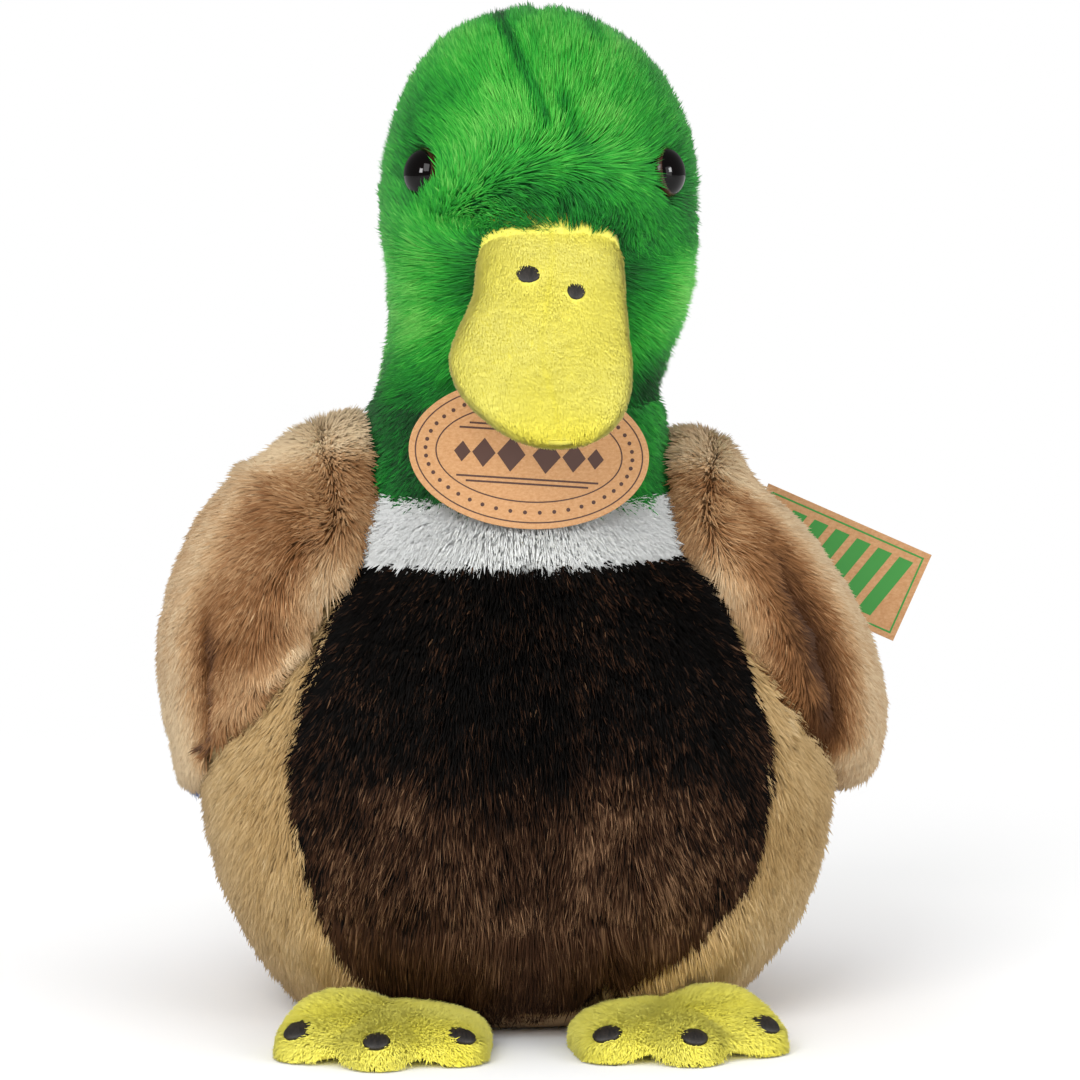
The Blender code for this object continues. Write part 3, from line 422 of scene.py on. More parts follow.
finishes = {
    # tone 0 is the deepest shade between tufts, 1 the palest hair
    "head": ((0.0, "#033C15"), (0.3, "#108528"), (0.62, "#34B935"), (1.0, "#86E066")),
    "ring": ((0.0, "#E6E9E7"), (0.5, "#F1F3F1"), (1.0, "#F9FAF9")),
    "breast": ((0.0, "#030201"), (0.25, "#0E0805"), (0.55, "#4C3120"), (1.0, "#B48C68")),
    "tan": ((0.0, "#8C6A38"), (0.4, "#C29E66"), (0.7, "#DDBC86"), (1.0, "#F0DBB0")),
    "wing": ((0.0, "#553216"), (0.35, "#9C6C42"), (0.65, "#D2A87A"), (1.0, "#F2D7AE")),
    "feather": ((0.0, "#4E3019"), (0.5, "#8E6038"), (1.0, "#C0936A")),
    "blue": ((0.0, "#1A2548"), (0.5, "#42568F"), (1.0, "#7C90C4")),
    "yellow": ((0.0, "#D8C62F"), (0.4, "#EBDF50"), (0.9, "#F3EB80")),
    # feet: the bill's yellow made brighter, painted light that makes up for the shade under the body
    "foot": ((0.0, "#E8D93A"), (0.4, "#FCF052"), (0.9, "#FFF77A")),
}
headPile = pileMaterial("green plush pile", finishes["head"])
ringPile = pileMaterial("white plush pile", finishes["ring"], rootShade=1.0)
breastPile = pileMaterial("dark brown plush pile", finishes["breast"], sheen=0.0, gloss=0.08)
tanPile = pileMaterial("tan plush pile", finishes["tan"])
wingPile = pileMaterial("brown plush pile", finishes["wing"], rootShade=0.75, sheen=0.03, gloss=0.15)
featherPile = pileMaterial("deep brown plush pile", finishes["feather"])
bluePile = pileMaterial("blue plush pile", finishes["blue"])
yellowPile = pileMaterial("yellow short plush pile", finishes["yellow"], rootShade=1.0)
# A brighter copy of the yellow pile for the feet: painted light that makes up for the shade they get under the
# body
footPileWithPaintedLight = pileMaterial("yellow plush pile brightened by painted light", finishes["foot"], rootShade=0.95)
# Knitted backings under the long pile: real cloth, but set darker than their pile's middle tone as painted
# shade for the gaps between tufts
greenBack = plainMaterial("green knitted backing", "#127A30")
whiteBack = plainMaterial("white knitted backing", "#F6F7F6")
darkBack = plainMaterial("dark brown knitted backing", "#120A08")
tanBack = plainMaterial("tan knitted backing", "#A98654")
wingBack = plainMaterial("brown knitted backing", "#85603C")
featherBack = plainMaterial("deep brown knitted backing", "#5A3A22")
blueBack = plainMaterial("blue knitted backing", "#161F3E")
yellowBack = grainMaterial("yellow velour backing", "#EADD48", "#F2E868", 0.7, sheen=0.1, bump=0.1)

liningCloth = grainMaterial("brushed tricot lining", "#8A6A45", "#AE8C62", 0.9, (1, 1, 0.4))
fibreFill = plainMaterial("white polyester fibre", "#ECEBE7")
pelletCloth = plainMaterial("white cotton pellet bag", "#D8D6D0")
# Satin stitch: its threads run up and down; the paler streaks in its colour are painted sheen, where a few
# threads catch the light
blackThread = grainMaterial("black embroidery thread", "#080504", "#2A221B", 0.45, (1, 0.25, 0.25),
                            roughness=0.6, bump=0.6, spread=0.2)
# Unbleached board: fibres and specks in it
kraftBoard = grainMaterial("unbleached kraft board", "#B07A48", "#CDA072", 0.5, (0.6, 1, 1),
                           roughness=0.8, bump=0.1, spread=0.3)
brownInk = plainMaterial("dark brown print on card", "#4A2A1E", 0.6)
greenInk = plainMaterial("green print on card", "#2F8B2F", 0.6)
clearNylon = plainMaterial("clear nylon pin", "#D9DAD6", 0.3)
whiteNylon = plainMaterial("white moulded nylon", "#DADAD8", 0.4)

down = np.array([0, 0, -1.0])
back = np.array([0, 1.0, 0])

# Body panels
bodyCloth = {"top": 3.3, "back": 4.2, "lump": 1.3, "seamDip": 1.1, "seamWide": 7,
             # degrees, and the height where it starts
             "turnIn": {1: (20, 34), -1: (9, 18)}}


# The seam beside the breast, as an angle round the body; low down it turns in, more on the left side
def breastSeam(side):
    def angleAt(height):
        share = atShare(bodyShape["breastShares"], height / (bodyShape["height"] * mm))[..., 1].clip(0, 1)
        turnIn, start = bodyCloth["turnIn"][side]
        return side * (np.arcsin(share) - math.radians(turnIn) * rise(start * mm, 7 * mm, height))
    return angleAt


# Lumps of filling, and the parting that runs down the breast from its middle to the base
def bodyRelief(points):
    lump = (spaceNoise(points, 34 * mm, 3) - 0.5) * 2 * bodyCloth["lump"] * mm
    off = points[..., 0] - (17 * mm - 0.05 * (60 * mm - points[..., 2]))
    front = rise(10 * mm, 40 * mm, -points[..., 1]) * rise(66 * mm, 40 * mm, points[..., 2])
    return lump - 1.6 * mm * front * np.exp(-(off / (4 * mm)) ** 2)


# A body panel between two seams: u goes round from one seam to the other, v up from the base seam
def bodyPanel(fromSeam, toSeam, low=None, high=None):
    low = bodyShape["baseSeam"] if low is None else low
    high = bodyShape["ringLow"] if high is None else high
    floor, top = (bodyForm.placeAt(height * mm) for height in (low, high))

    def surface(u, v, out):
        place = floor + (top - floor) * v
        height = bodyForm.section(place)[..., 0]
        start, stop = (seam(height) if callable(seam) else seam for seam in (fromSeam, toSeam))
        angle = start + (stop - start) * u
        row = bodyForm.section(place)
        radius = (row[..., 1] + row[..., 2]) / 2
        near = np.minimum(u, 1 - u) * np.abs(stop - start) * radius
        dip = bodyCloth["seamDip"] * mm * np.exp(-(near / (bodyCloth["seamWide"] / 2 * mm)) ** 2)
        flat = bodyForm.skin(place, angle)
        return bodyForm.moved(place, angle, out + bodyRelief(flat) - dip)
    return surface


backSeam = bodyShape["backSeam"]
breastSurface = bodyPanel(breastSeam(-1), breastSeam(1))
flankSurfaces = {"left": bodyPanel(breastSeam(1), backSeam), "right": bodyPanel(-backSeam, breastSeam(-1))}
backSurfaces = {"left": bodyPanel(backSeam, math.pi), "right": bodyPanel(-math.pi, -backSeam)}


def bodyComb(root, normal, u, v):
    spread = root * np.array([1, 1, 0]) / (60 * mm)
    return down + spread * 0.15


longPile = {"count": 40000, "depth": 3.4, "length": 6.4, "lift": 4.2, "width": 0.2, "tuft": 3.2, "pull": 0.35,
            "swirl": 0.3, "swirlSize": 20, "stray": 0.12, "tuftPaintedShade": 0.2, "toneSpread": 0.08, "soft": 0.75}


# Painted light: paler hairs in the lower middle, where the pile there turns its lit side up
def breastTone(root, u, v):
    pale = np.exp(-((root[..., 2] - 26 * mm) / (33 * mm)) ** 4 - (root[..., 0] / (50 * mm)) ** 4)
    return 0.12 + 0.42 * pale + 0.22 * (spaceNoise(root, 13 * mm, 21) - 0.5)


# The parting pushes hairs apart on both sides of its line
def breastComb(root, normal, u, v):
    way = bodyComb(root, normal, u, v)
    way[..., 0] += -0.25 * np.clip(root[..., 0] / (40 * mm), -1, 1) * rise(50 * mm, 90 * mm, root[..., 2])
    return way


addCloth("breast_panel", "duck_body", "dark_plush", breastSurface, 60, 44, darkBack,
         bodyCloth["top"], bodyCloth["back"])
breastPileSizes = {**longPile, "toneSpread": 0.15, "tuftPaintedShade": 0.3}
growPile("breast_panel", "duck_body", "dark_plush", breastSurface, breastPile, breastPileSizes, breastComb,
         breastTone, 100)

flankPileSizes = {**longPile, "count": 24000}
backPileSizes = {**flankPileSizes, "count": 15500}
for number, side in enumerate(("left", "right")):
    addCloth("flank_" + side, "duck_body", "tan_plush", flankSurfaces[side], 36, 44, tanBack,
             bodyCloth["top"], bodyCloth["back"])
    growPile("flank_" + side, "duck_body", "tan_plush", flankSurfaces[side], tanPile, flankPileSizes,
             bodyComb, lambda root, u, v: 0.5 + 0.4 * (spaceNoise(root, 22 * mm, 31) - 0.5), 110 + number)
    addCloth("back_" + side, "duck_body", "brown_plush", backSurfaces[side], 30, 44, wingBack,
             bodyCloth["top"], bodyCloth["back"])
    growPile("back_" + side, "duck_body", "brown_plush", backSurfaces[side], wingPile, backPileSizes,
             bodyComb, lambda root, u, v: 0.45 + 0.4 * (spaceNoise(root, 22 * mm, 32) - 0.5), 120 + number)

# Ring and neck
ringPlace = [bodyForm.placeAt(height * mm) for height in (99.15, 110.35)]
neckPlace = [bodyForm.placeAt(height * mm) for height in (110.65, 130)]


# A band right round: u round from behind, v upwards; a bulge makes it stand out in the middle
def bandSurface(places, bulge):
    def surface(u, v, out):
        place = places[0] + (places[1] - places[0]) * v
        swell = bulge * mm * np.sin(math.pi * np.asarray(v))
        return bodyForm.moved(place, (2 * u - 1) * math.pi, out + swell)
    return surface


ringSurface = bandSurface(ringPlace, 1.2)
neckSurface = bandSurface(neckPlace, 0.0)
addCloth("neck_ring", "duck_body", "white_plush", ringSurface, 80, 12, whiteBack, 3.3, 4.2, closed=True)
ringPileSizes = {**longPile, "count": 24000, "length": 4.7, "lift": 3.9, "width": 0.24, "tuft": 2.4,
                 "stray": 0.1, "pull": 0.12, "swirl": 0.15, "swirlSize": 9, "tuftPaintedShade": 0.04,
                 "toneSpread": 0.03, "soft": 1.0}
growPile("neck_ring", "duck_body", "white_plush", ringSurface, ringPile, ringPileSizes,
         lambda root, normal, u, v: down, lambda root, u, v: 0.6 + 0 * u, 200)
addCloth("neck_cover", "neck", "green_plush", neckSurface, 80, 14, greenBack, 3.3, 4.2, closed=True)
neckPileSizes = {**longPile, "count": 20000, "length": 5.6, "lift": 3.9}


# Painted shadow under the chin, where the head hangs over the neck; brighter towards the sides
def neckTone(root, u, v):
    shade = np.exp(-((root[..., 0] + 4 * mm) / (26 * mm)) ** 4) * (root[..., 1] < 0)
    return 0.45 - 0.42 * shade + 0.25 * (spaceNoise(root, 14 * mm, 41) - 0.5)


growPile("neck_cover", "neck", "green_plush", neckSurface, headPile, neckPileSizes,
         lambda root, normal, u, v: down, neckTone, 210)

# Head
headValues = {"seamDip": 0.8, "seamWide": 5, "lump": 0.9, "billRoot": (4.6, -36, 160.7), "eyeAbove": 46.9,
              "eyeAngle": 55, "eyeRadius": 5.2, "eyeRise": 3.9, "eyeSink": 2.2, "rimRadius": 4.75,
              "shankRadius": 1.6, "shankLow": -11.9, "shankHigh": -1.9,
              # dark streaks: where each starts and ends in x and z, how wide and how deep in tone it is
              "streaks": (((-3.6, 207), (3.5, 185), 1.3, 0.5), ((13.2, 207), (15, 200), 1.4, 0.4),
                          ((6.9, 189), (8.6, 181), 1.3, 0.35))}


def headHalf(side):
    low, high = (0, math.pi) if side > 0 else (-math.pi, 0)

    def surface(u, v, out):
        angle = low + (high - low) * u
        place = headForm.last * np.asarray(v)
        row = headForm.section(place)
        near = np.minimum(u, 1 - u) * math.pi * (row[..., 1] + row[..., 2]) / 2
        dip = headValues["seamDip"] * mm * np.exp(-(near / (headValues["seamWide"] / 2 * mm)) ** 2)
        flat = headForm.skin(place, angle)
        lump = (spaceNoise(flat, 26 * mm, 5) - 0.5) * 2 * headValues["lump"] * mm
        return headForm.moved(place, angle, out + lump - dip)
    return surface


billRoot = np.array(headValues["billRoot"]) * mm


# Away from the bill's root over face and crown, and down at the back of the head. Over the bill the hair
# turns aside, then down over its edge: angle = 170 degrees, less with the distance from the bill
def headComb(root, normal, u, v):
    away = unit(root - billRoot)
    turned = rise(-5 * mm, 32 * mm, root[..., 1])[..., None]
    off = (root - billRoot) / (np.array([15.5, 1000, 10.5]) * mm)
    near = rise(2.4, 1.1, np.linalg.norm(off, axis=-1)) * rise(-2 * mm, 7 * mm, root[..., 2] - billRoot[2])
    angle = math.radians(170) * (near * (root[..., 1] < 0))[..., None]
    away = away * np.cos(angle) + np.cross(away, normal) * np.sin(angle)
    return unit(away * (1 - turned) + down * turned * 1.2 + away * 0.1)


eyePlace = headForm.placeAt((headShape["floor"] + headValues["eyeAbove"]) * mm)
eyeSeats = {side: (headForm.skin(eyePlace, sign * math.radians(headValues["eyeAngle"])),
                   headForm.normal(eyePlace, sign * math.radians(headValues["eyeAngle"])))
            for side, sign in (("left", 1), ("right", -1))}


# Leaves the eyes' places free of hair, further on the bill's side, from where the hair leans over them
def clearOfEyes(root):
    kept = np.ones(len(root), bool)
    for seat, out in eyeSeats.values():
        middle = seat - out * 3.4 * mm
        toBill = unit(billRoot - middle)
        for shift in (0, 1.2):
            off = np.linalg.norm(root - middle - toBill * shift * mm, axis=-1)
            kept &= off > headValues["eyeRadius"] * mm
    return kept


# Painted shade close round the bill's root, under the chin and round the eye seats; darker also in streaks
# over the brow
def headTone(root, u, v):
    near = np.exp(-(np.linalg.norm(root - billRoot, axis=-1) / (19 * mm)) ** 4)
    streak = 0.0
    flat = root[:, [0, 2]]
    for start, end, wide, deep in headValues["streaks"]:
        a, b = np.array(start) * mm, np.array(end) * mm
        share = np.clip(((flat - a) @ (b - a)) / ((b - a) @ (b - a)), 0, 1)
        off = np.linalg.norm(flat - a - share[:, None] * (b - a), axis=-1)
        streak = streak + deep * np.exp(-(off / (wide * mm)) ** 2) * (root[:, 1] < 0)
    chinShadow = rise(148 * mm, 132 * mm, root[:, 2]) * (root[:, 1] < 0)
    patches = 0.5 * (spaceNoise(root, 17 * mm, 51) - 0.5)
    socketShade = sum(np.exp(-(np.linalg.norm(root - seat - down * 2.5 * mm, axis=-1) / (10 * mm)) ** 2)
                 for seat, out in eyeSeats.values())
    return 0.58 + patches - 0.35 * near - streak - 0.45 * chinShadow - 0.25 * socketShade


headPileSizes = {**longPile, "count": 45000, "length": 5.6, "lift": 3.7, "width": 0.18, "tuft": 2.8,
                 "stray": 0.1, "tuftPaintedShade": 0.24, "toneSpread": 0.1, "mask": clearOfEyes}
for number, (side, sign) in enumerate((("left", 1), ("right", -1))):
    halfSurface = headHalf(sign)
    addCloth("head_cover_" + side, "head", "green_plush", halfSurface, 44, 60, greenBack, 3.3, 4.2)
    growPile("head_cover_" + side, "head", "green_plush", halfSurface, headPile, headPileSizes, headComb,
             headTone, 300 + number)

# Eyes
# Its low specular keeps the dome black, with only the softboxes as small white spots in it
eyeMaterial, _, eyeShader = startMaterial("black glossy plastic")
eyeShader.inputs["Base Color"].default_value = linear("#050303")
eyeShader.inputs["Roughness"].default_value = 0.06
eyeShader.inputs["IOR"].default_value = 1.49
eyeShader.inputs["Specular IOR Level"].default_value = 0.2
rimMaterial = plainMaterial("dark brown moulded plastic", "#3A1F10", 0.25)


# A shape turned about an axis from a profile of (radius, distance along the axis)
def turnedRings(profile, seat, axis, steps):
    axis = unit(np.asarray(axis, float))
    first = unit(np.cross(axis, np.array([0, 0, 1.0]) if abs(axis[2]) < 0.9 else np.array([1.0, 0, 0])))
    second = np.cross(axis, first)
    turn = np.linspace(0, 2 * math.pi, steps, endpoint=False)[None, :, None]
    radius, along = np.array(profile).T[:, :, None, None]
    return seat + axis * along + (first * np.cos(turn) + second * np.sin(turn)) * radius


for side in ("left", "right"):
    seat, out = eyeSeats[side]
    dome = [(headValues["eyeRadius"] * math.cos(turn) * mm,
             (headValues["eyeRise"] * math.sin(turn) - headValues["eyeSink"]) * mm)
            for turn in np.linspace(0, math.pi / 2 * 0.96, 12)]
    shank = [(headValues["shankRadius"] * mm, headValues[end] * mm) for end in ("shankLow", "shankHigh")]
    rings = turnedRings(shank + dome, seat, out, 48)
    ends = [np.broadcast_to(rings[0].mean(axis=0), rings[0].shape),
            np.broadcast_to(seat + out * (headValues["eyeRise"] - headValues["eyeSink"]) * mm,
                            rings[0].shape)]
    eye = makeMesh("eye_" + side + "_dome", np.concatenate([ends[0][None], rings, ends[1][None]]),
                   gridFaces(len(rings) + 2, 48, closed=True), eyeMaterial)
    joinPoles(eye)
    eye.data.materials.append(rimMaterial)
    middles = np.empty(len(eye.data.polygons) * 3)
    eye.data.polygons.foreach_get("center", middles)
    offAxis = np.linalg.norm(np.cross(middles.reshape(-1, 3) - seat, out), axis=-1)
    inRim = offAxis > headValues["rimRadius"] * mm
    eye.data.polygons.foreach_set("material_index", inRim.astype(np.int32))
    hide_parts("eye_" + side)
    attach(eye, "head")
print("body, neck and head done")


# Bill and tail: flat stuffed shapes that grow out of a form
def travelTo(form, points, way, reach, gap):
    steps = np.linspace(0, reach, 121)
    met = form.holds(points[..., None, :] + steps[:, None] * way, gap)
    first = np.maximum(np.argmax(met, axis=-1) - 1, 0)
    return np.where(met.any(axis=-1), steps[first], reach)


class HalfForm:
    def __init__(self, shape, form, lower=False):
        slope = math.radians(shape["slope"])
        self.forward = np.array([0, math.copysign(math.cos(slope), shape["facing"]),
                                 math.sin(slope) * shape["rises"]])
        self.up = np.array([0, math.sin(slope) * shape["tips"], math.cos(slope)]) * (-1 if lower else 1)
        self.length, self.halfWidth = shape["length"] * mm, shape["halfWidth"] * mm
        self.high = shape["drop" if lower else "rise"] * mm
        self.bend = shape["bend"] * mm
        self.shares = np.array(shape["shares"])[:, [0, 1, 3 if lower else 2]]
        self.root = np.array(shape["root"]) * mm + self.up * 0.15 * mm
        self.flip = np.cross([-1.0, 0, 0], self.forward) @ self.up < 0
        self.arcs = np.linspace(0, math.pi, 61)
        start = self.point(self.arcs, np.full(61, self.length / 2), 0, 0.0)
        self.begins = self.length / 2 - travelTo(form, start, -self.forward, self.length, -shape["sunk"] * mm)

    # Height over the lip = sin(arc) ^ 0.8 of the rise, width = cos(arc) of the half width
    def point(self, arc, along, out, wideFrom):
        wide, high = np.moveaxis(atShare(self.shares, np.clip(wideFrom, 0, 1))[..., 1:], -1, 0)
        across = np.cos(arc) * np.maximum(self.halfWidth * wide + out, 0.2 * mm)
        tall = np.sin(arc).clip(0, 1) ** 0.8 * np.maximum(self.high * high + out, 0.2 * mm)
        bent = self.bend * np.exp(-((np.asarray(along) / self.length - 0.58) / 0.28) ** 2)
        return (self.root + self.forward * np.asarray(along)[..., None]
                + np.array([1.0, 0, 0]) * (across + bent)[..., None] + self.up * tall[..., None])

    def surface(self, u, v, out):
        u, v = np.broadcast_arrays(np.asarray(u, float), np.asarray(v, float))
        arc = (1 - u) * math.pi if self.flip else u * math.pi
        begin = np.interp(arc, self.arcs, self.begins)
        share = np.sin(v * math.pi / 2 * 0.985)
        along = begin + (self.length + out * 0.9 - begin) * share
        return self.point(arc, along, out, along / self.length)

    # Rings for a closed skin: the arc over the top, then back along the flat side
    def rings(self, depth, rows):
        v = np.linspace(0, 1, rows)[:, None]
        arc = self.surface(np.linspace(0, 1, 25)[None, :], v, -depth * mm)
        share = np.linspace(0, 1, 7)[1:-1][:, None]
        flat = arc[:, -1:, :] + (arc[:, :1, :] - arc[:, -1:, :]) * share
        return np.concatenate([arc, flat], axis=1)


billShape = {"root": (4.6, -35, 160.7), "slope": 46, "facing": -1, "rises": -1, "tips": -1, "length": 49.3,
             "halfWidth": 18.4, "rise": 9, "drop": 11, "sunk": 2.6, "bend": -3.2,
             # share of the length, then of the half width, of the rise and of the drop
             "shares": ((0, .81, 1, 1), (.25, .85, .80, .84), (.44, .95, .63, .74), (.57, 1, .55, .71),
                        (.70, .95, .49, .69), (.81, .82, .44, .62), (.90, .63, .37, .53),
                        (.965, .38, .26, .36), (1, 0, 0, 0))}
tailShape = {"root": (0, 62, 50), "slope": 24, "facing": 1, "rises": 1, "tips": -1, "length": 44,
             "halfWidth": 20, "rise": 7.5, "drop": 7.5, "sunk": 2.6, "bend": 0,
             "shares": ((0, 1, 1, 1), (.30, .97, .92, .92), (.60, .80, .78, .78), (.80, .58, .62, .62),
                        (.93, .32, .42, .42), (1, 0, 0, 0))}


def alongPiece(forward):
    return lambda root, normal, u, v: forward


# Embroidered ovals on a surface, each from its middle and its half sizes along u and v.
# Height over the surface = top of the stitch times the root of (1 - radius squared), with its rim sunk in
def addSpots(name, body, surface, spots, top, sunk):
    turn = np.linspace(0, 2 * math.pi, 28, endpoint=False)[None, :]
    radius = np.linspace(1.08, 0, 9)[:, None]
    for number, ((spotU, spotV), (wideU, wideV)) in enumerate(spots):
        out = np.where(radius > 1, -sunk, top * np.sqrt(1 - np.minimum(radius, 1) ** 2) - 0.4) * mm + 0 * turn
        points = surface(spotU + wideU * radius * np.cos(turn), spotV + wideV * radius * np.sin(turn), out)
        spot = makeMesh(name + "_spot_" + str(number), points, gridFaces(9, 28, closed=True), blackThread)
        joinPoles(spot)
        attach(spot, body)


billPileSizes = {**longPile, "depth": 0.8, "length": 1.6, "lift": 0.85, "width": 0.24, "tuft": 2.2,
                 "pull": 0.1, "swirl": 0.2, "swirlSize": 7, "stray": 0.14, "tuftPaintedShade": 0.04,
                 "toneSpread": 0.03, "soft": 1.0, "mask": lambda root: ~headForm.holds(root, 0.2 * mm)}
nostrils = (((0.60, 0.20), (0.056, 0.026)), ((0.385, 0.235), (0.04, 0.026)))


# Painted shade: a darker yellow at the root of the bill, on the lip and along the fold down its middle
def billTone(root, u, v):
    foldShade = np.exp(-((u - 0.5) / 0.012) ** 2)
    ends = rise(0.12, 0.0, v) + rise(0.6, 1.0, v)
    return 0.62 - 0.35 * ends - 0.12 * foldShade + 0.2 * (spaceNoise(root, 9 * mm, 61) - 0.5)


for node, lower, extra in (("bill_upper", False, {"count": 26000, "spots": nostrils}),
                           ("bill_lower", True, {"count": 15000})):
    half = HalfForm(billShape, headForm, lower)
    addBlob(node, "head", "yellow_plush", half.rings(0.45, 34), yellowBack)
    addSpots(node, "head", half.surface, extra.get("spots", ()), 0.5, 1.2)
    growPile(node, "head", "yellow_plush", half.surface, yellowPile, {**billPileSizes, **extra},
             alongPiece(half.forward), billTone, 400 + lower)
tailPileSizes = {**longPile, "count": 6500, "depth": 2.2, "lift": 2.6}
for node, lower, finish, backing, pileOf in (("tail_upper", False, "dark_plush", darkBack, breastPile),
                                             ("tail_lower", True, "tan_plush", tanBack, tanPile)):
    half = HalfForm(tailShape, bodyForm, lower)
    addBlob(node, "tail", finish, half.rings(2.2, 28), backing)
    growPile(node, "tail", finish, half.surface, pileOf, tailPileSizes,
             alongPiece(half.forward + half.up * (0.3 if lower else -0.2)),
             lambda root, u, v: 0.45 + 0 * u, 420 + lower)

# Wings
wingShape = {
    "front": 54, "rear": 143, "low": 45, "height": 77, "crest": 0.7, "clearance": 1.0,
    # filling low down and at the shoulder, and how thin the lower edge gets, on the left and right wing
    "bulge": {1: 5, -1: 1.0}, "shoulder": {1: 7, -1: 12.5}, "thin": {1: 0.7, -1: 0.3},
    # how much the lower edge is raised in front and the upper one lowered there, as shares of the height,
    # and how far the layers' borders lean forward low down, as a share of the length
    "raised": {1: 0.03, -1: 0.06}, "lowered": {1: 0.055, -1: 0.0}, "slant": 0.16,
    "shoulderHeight": 100, "shoulderLift": 1.5, "cover": 7.4, "stripe": (0.60, 0.73),
    # share of the length, then of the height for the lower and the upper edge
    "edges": ((0, .44, .62), (.05, .28, .76), (.14, .17, .88), (.26, .10, .96), (.40, .05, 1),
              (.55, .01, .93), (.70, 0, .78), (.85, .02, .58), (.95, .06, .38), (1, .12, .24)),
    # folds on the left and right wing: share of the length and width, half sizes there, and depth
    "folds": {1: ((0.10, 0.28, 0.05, 0.36, 4.4),), -1: ((0.20, 0.12, 0.045, 0.28, 3.4),)},
}


# The wing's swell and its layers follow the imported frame; towards its outline the cover rolls in
def wingPoints(side, along, across, lift):
    low, high = np.moveaxis(atShare(wingShape["edges"], along)[..., 1:], -1, 0)
    low = low + wingShape["raised"][side] * np.exp(-((along - 0.14) / 0.12) ** 2)
    high = high - wingShape["lowered"][side] * np.exp(-((along - 0.37) / 0.2) ** 2)
    height = (wingShape["low"] + wingShape["height"] * (low + (high - low) * across)) * mm
    angle = np.radians(wingShape["front"] + (wingShape["rear"] - wingShape["front"]) * along)
    top = (wingShape["low"] + wingShape["height"]) * mm
    shoulder = wingShape["shoulderLift"] * mm * rise(wingShape["shoulderHeight"] * mm, top, height)
    out = wingShape["clearance"] * mm + shoulder + lift
    return bodyForm.moved(bodyForm.placeAt(height), side * angle, out)


# Swell = bulge, plus a hump at the crest of the width that is fuller in the right wing, rounded off at
# the edges
def wingSwell(side, along, across):
    roundOff = np.sqrt(np.clip(1 - np.abs(2 * across - 1) ** 3, 0, 1))
    roundOff = roundOff * np.sqrt(np.clip(1 - np.abs(2 * along - 1) ** 4, 0, 1))
    hump = np.sin(math.pi * np.clip(across, 0, 1) ** (math.log(0.5) / math.log(wingShape["crest"])))
    low, high = wingShape["bulge"][side], wingShape["shoulder"][side]
    return roundOff * (low + (high - low) * hump) * mm


# How deep in a fold a place lies, from 0 to the fold's depth in millimetres
def wingFold(side, along, across):
    deep = 0.0
    for foldAlong, foldAcross, wideAlong, wideAcross, depth in wingShape["folds"][side]:
        middle = foldAlong + 0.05 * (foldAcross - across)
        off = ((along - middle) / wideAlong) ** 2 + ((across - foldAcross) / wideAcross) ** 4
        deep = deep + depth * np.exp(-off)
    return deep


def wingRoll(along, across):
    edge = np.minimum(np.minimum(along / 0.05, (1 - along) / 0.05), np.minimum(across, 1 - across) / 0.06)
    return np.sqrt(1 - (1 - np.clip(edge, 0, 1)) ** 2)


# Thickness of the layers, as a share: thin at the lower edge
def wingThin(side, across):
    thin = wingShape["thin"][side]
    return thin + (1 - thin) * rise(0, 0.4, across)


# Share of the wing's length from a layer's own share u; borders lean forward in the lower half
def alongAt(side, start, stop, u, across):
    along = start + (stop - start) * (u if side > 0 else 1 - u)
    return along - wingShape["slant"] * np.sin(math.pi * along) * rise(0.6, 0, across)


def wingSurface(side, start, stop):
    def surface(u, v, out):
        u, across = np.broadcast_arrays(np.asarray(u, float), np.asarray(v, float))
        along = alongAt(side, start, stop, u, across)
        rolled = wingRoll(along, across)
        cover = (wingShape["cover"] * mm + out) * (0.12 + 0.88 * rolled) * wingThin(side, across)
        cover = cover + wingSwell(side, along, across)
        points = wingPoints(side, along, across, cover)
        lump = (spaceNoise(points, 28 * mm, 7) - 0.5) * 2.4 - wingFold(side, along, across)
        return wingPoints(side, along, across, cover + lump * mm * rolled)
    return surface


# The wing's flat layers inside: a lining against the body and the filling over it
def wingLayer(side, inset, lift, filled):
    def surface(u, v, out):
        u, v = np.broadcast_arrays(np.asarray(u, float), np.asarray(v, float))
        along, across = (inset + (1 - 2 * inset) * share for share in (alongAt(side, 0, 1, u, 1), v))
        swell = wingSwell(side, along, across) - (wingFold(side, along, across) + 1.2) * mm
        swell = np.maximum(swell * wingRoll(along, across), -1.6 * mm) * filled
        return wingPoints(side, along, across, (lift * mm + out) * wingThin(side, across) + swell)
    return surface


# Down over the shoulder and back towards the tip; at the upper edge it turns forward, by 120 degrees,
# so that it lies over the gap to the neck, and on the front rim it turns forward too
def wingComb(surface, side, start, stop):
    def comb(root, normal, u, v):
        over = unit(surface(u, np.clip(v - 0.02, 0, 1), 0) - surface(u, np.clip(v + 0.02, 0, 1), 0))
        fore = unit(surface(np.clip(u - 0.02, 0, 1), v, 0) - surface(np.clip(u + 0.02, 0, 1), v, 0)) * side
        along = alongAt(side, start, stop, u, v)
        angle = (math.radians(120) * rise(0.86, 1.0, v))[:, None]
        backwards = (0.1 + 0.5 * rise(0.9, 0.3, v)) * rise(0.0, 0.25, along) - 0.4 * rise(0.06, 0.0, along)
        return over * np.cos(angle) + fore * (np.sin(angle) - backwards[:, None] * np.cos(angle))
    return comb


# Tone = darker over the front of the wing and, as painted shade, in its folds; paler on the ridge, as painted
# light where it stands out, and paler on the upper edge, on the front fringe and, on the right wing, on the
# lower edge
def wingTone(side, start, stop):
    def toneAt(root, u, v):
        along = alongAt(side, start, stop, u, v)
        ridgeLight = rise(0.14, 0.30, along) if side < 0 else rise(0.13, 0.22, along)
        fringe = rise(0.035, 0.0, along) + rise(0.35, 0.05, v) * (side < 0)
        tone = 0.34 + 0.48 * ridgeLight + 0.34 * fringe + 0.14 * rise(0.7, 0.95, v)
        return tone - 0.15 * wingFold(side, along, v) + 0.3 * (spaceNoise(root, 20 * mm, 71) - 0.5)
    return toneAt


